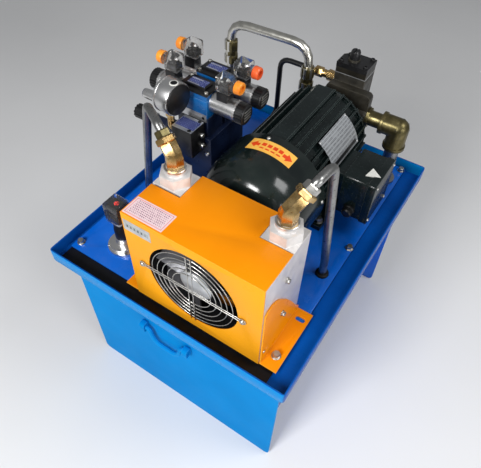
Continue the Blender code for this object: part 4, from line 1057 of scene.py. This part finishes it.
def level_switch():
    """A clear connector housing over a dark insert and a red lamp, on a black neck and a screwed flange."""
    low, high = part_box("level_switch_head")
    x, y = (low.x + high.x) / 2, (low.y + high.y) / 2
    piece("switch_shell", [block(low, high, 0.0030, 3)], CLEAR, stands_for=["level_switch_head"])
    inside = [block(low + Vector((0.004, 0.004, 0.003)), high - Vector((0.004, 0.004, 0.020)), 0.001)]
    upper = (low.x + 0.006, low.y + 0.006, high.z - 0.021)
    inside.append(block(upper, high - Vector((0.006, 0.006, 0.005)), 0.001))
    piece("switch_insert", inside, BLACK)
    lamp = [(0, 0), (0.0052, 0), (0.0052, 0.0012), (0.0036, 0.0026), (0, 0.0031)]
    piece("switch_lamp", [lathe(lamp, (x + 0.003, y, high.z - 0.0036), UP, 32)], LAMP)
    screws = []
    for a in (math.radians(45 + 90 * k) for k in range(4)):
        at = (x + 0.0308 * math.cos(a), y + 0.0308 * math.sin(a), DECK + 0.006)
        screws.append(socket_screw(at, 0.0024, 0.0026))
    piece("switch_flange_screws", screws, ZINC)
    flange = (x, y, DECK + 0.0125)
    neck = [(0.0121, 0.016), (0.0150, 0.016), (0.0150, 0.040), (0.0138, 0.043), (0.0138, 0.0585),
            (0.0121, 0.0585)]
    piece("switch_neck", [lathe(neck, flange)], BLACK)
    base = [(0.0121, 0), (0.0165, 0), (0.0165, 0.004), (0.0150, 0.006), (0.0150, 0.016), (0.0135, 0.018),
            (0.0121, 0.018)]
    piece("switch_collar", [lathe(base, flange)], CHROME)


# -------- floor, light and camera


def floor():
    made = bmesh.new()
    bmesh.ops.create_grid(made, x_segments=8, y_segments=8, size=6.0)
    mesh = bpy.data.meshes.new("floor")
    made.to_mesh(mesh)
    made.free()
    pale, tree, shader = start_material("floor_pale")
    shade = ramp(tree, noise(tree, place(tree), 1.5), 0.3, 0.7, (0.74, 0.74, 0.74), (0.78, 0.78, 0.78))
    tree.links.new(shade, shader.inputs["Base Color"])
    adjust(shader, Roughness=0.85)
    mesh.materials.append(pale)
    obj = linked("floor", mesh)


def softbox(name, position, side, power):
    """A square area light that looks at the middle of the unit."""
    lamp = bpy.data.lights.new(name, "AREA")
    lamp.size = side
    lamp.energy = power
    obj = linked(name, lamp)
    obj.location = position
    obj.rotation_euler = (Vector(position) - LIT_POINT).to_track_quat("Z", "Y").to_euler()


def lights():
    world = bpy.data.worlds.new("studio")
    world.use_nodes = True
    adjust(world.node_tree.nodes["Background"], Color=(0.95, 0.97, 1.0, 1.0), Strength=0.26)
    bpy.context.scene.world = world
    softbox("key", (-0.1, -1.8, 1.75), 0.7, 43)
    softbox("overhead", (1.2, 0.3, 2.0), 0.8, 14)
    softbox("fill", (1.9, -0.6, 0.9), 0.8, 13)


def camera():
    azimuth, elevation, roll = (math.radians(a) for a in CAMERA_TURN)
    right = Vector((math.cos(azimuth), math.sin(azimuth), 0.0))
    level = Vector((-math.sin(azimuth), math.cos(azimuth), 0.0))
    forward = level * math.cos(elevation) - UP * math.sin(elevation)
    up = right.cross(forward)
    across = right * math.cos(roll) + up * math.sin(roll)
    upright = up * math.cos(roll) - right * math.sin(roll)
    lens = bpy.data.cameras.new("camera")
    lens.sensor_width = SENSOR_MM
    lens.lens = LENS_MM
    obj = linked("camera", lens)
    turn = Matrix((across, upright, -forward)).transposed().to_4x4()
    obj.matrix_world = Matrix.Translation(CAMERA_AT) @ turn
    bpy.context.scene.camera = obj


for build in (deck_bolts, guard, cooler_sticker, cooler_trim, side_sheets, boss_collars, adapters,
              rotation_label, rating_plate, motor_screws, terminal_box, pump_trim, loop_fittings,
              tube_collars, valves, gauge, gauge_stem, gauge_block_trim, relief_trim, level_switch,
              floor, lights, camera):
    build()
bpy.context.scene.view_settings.view_transform = "Standard"
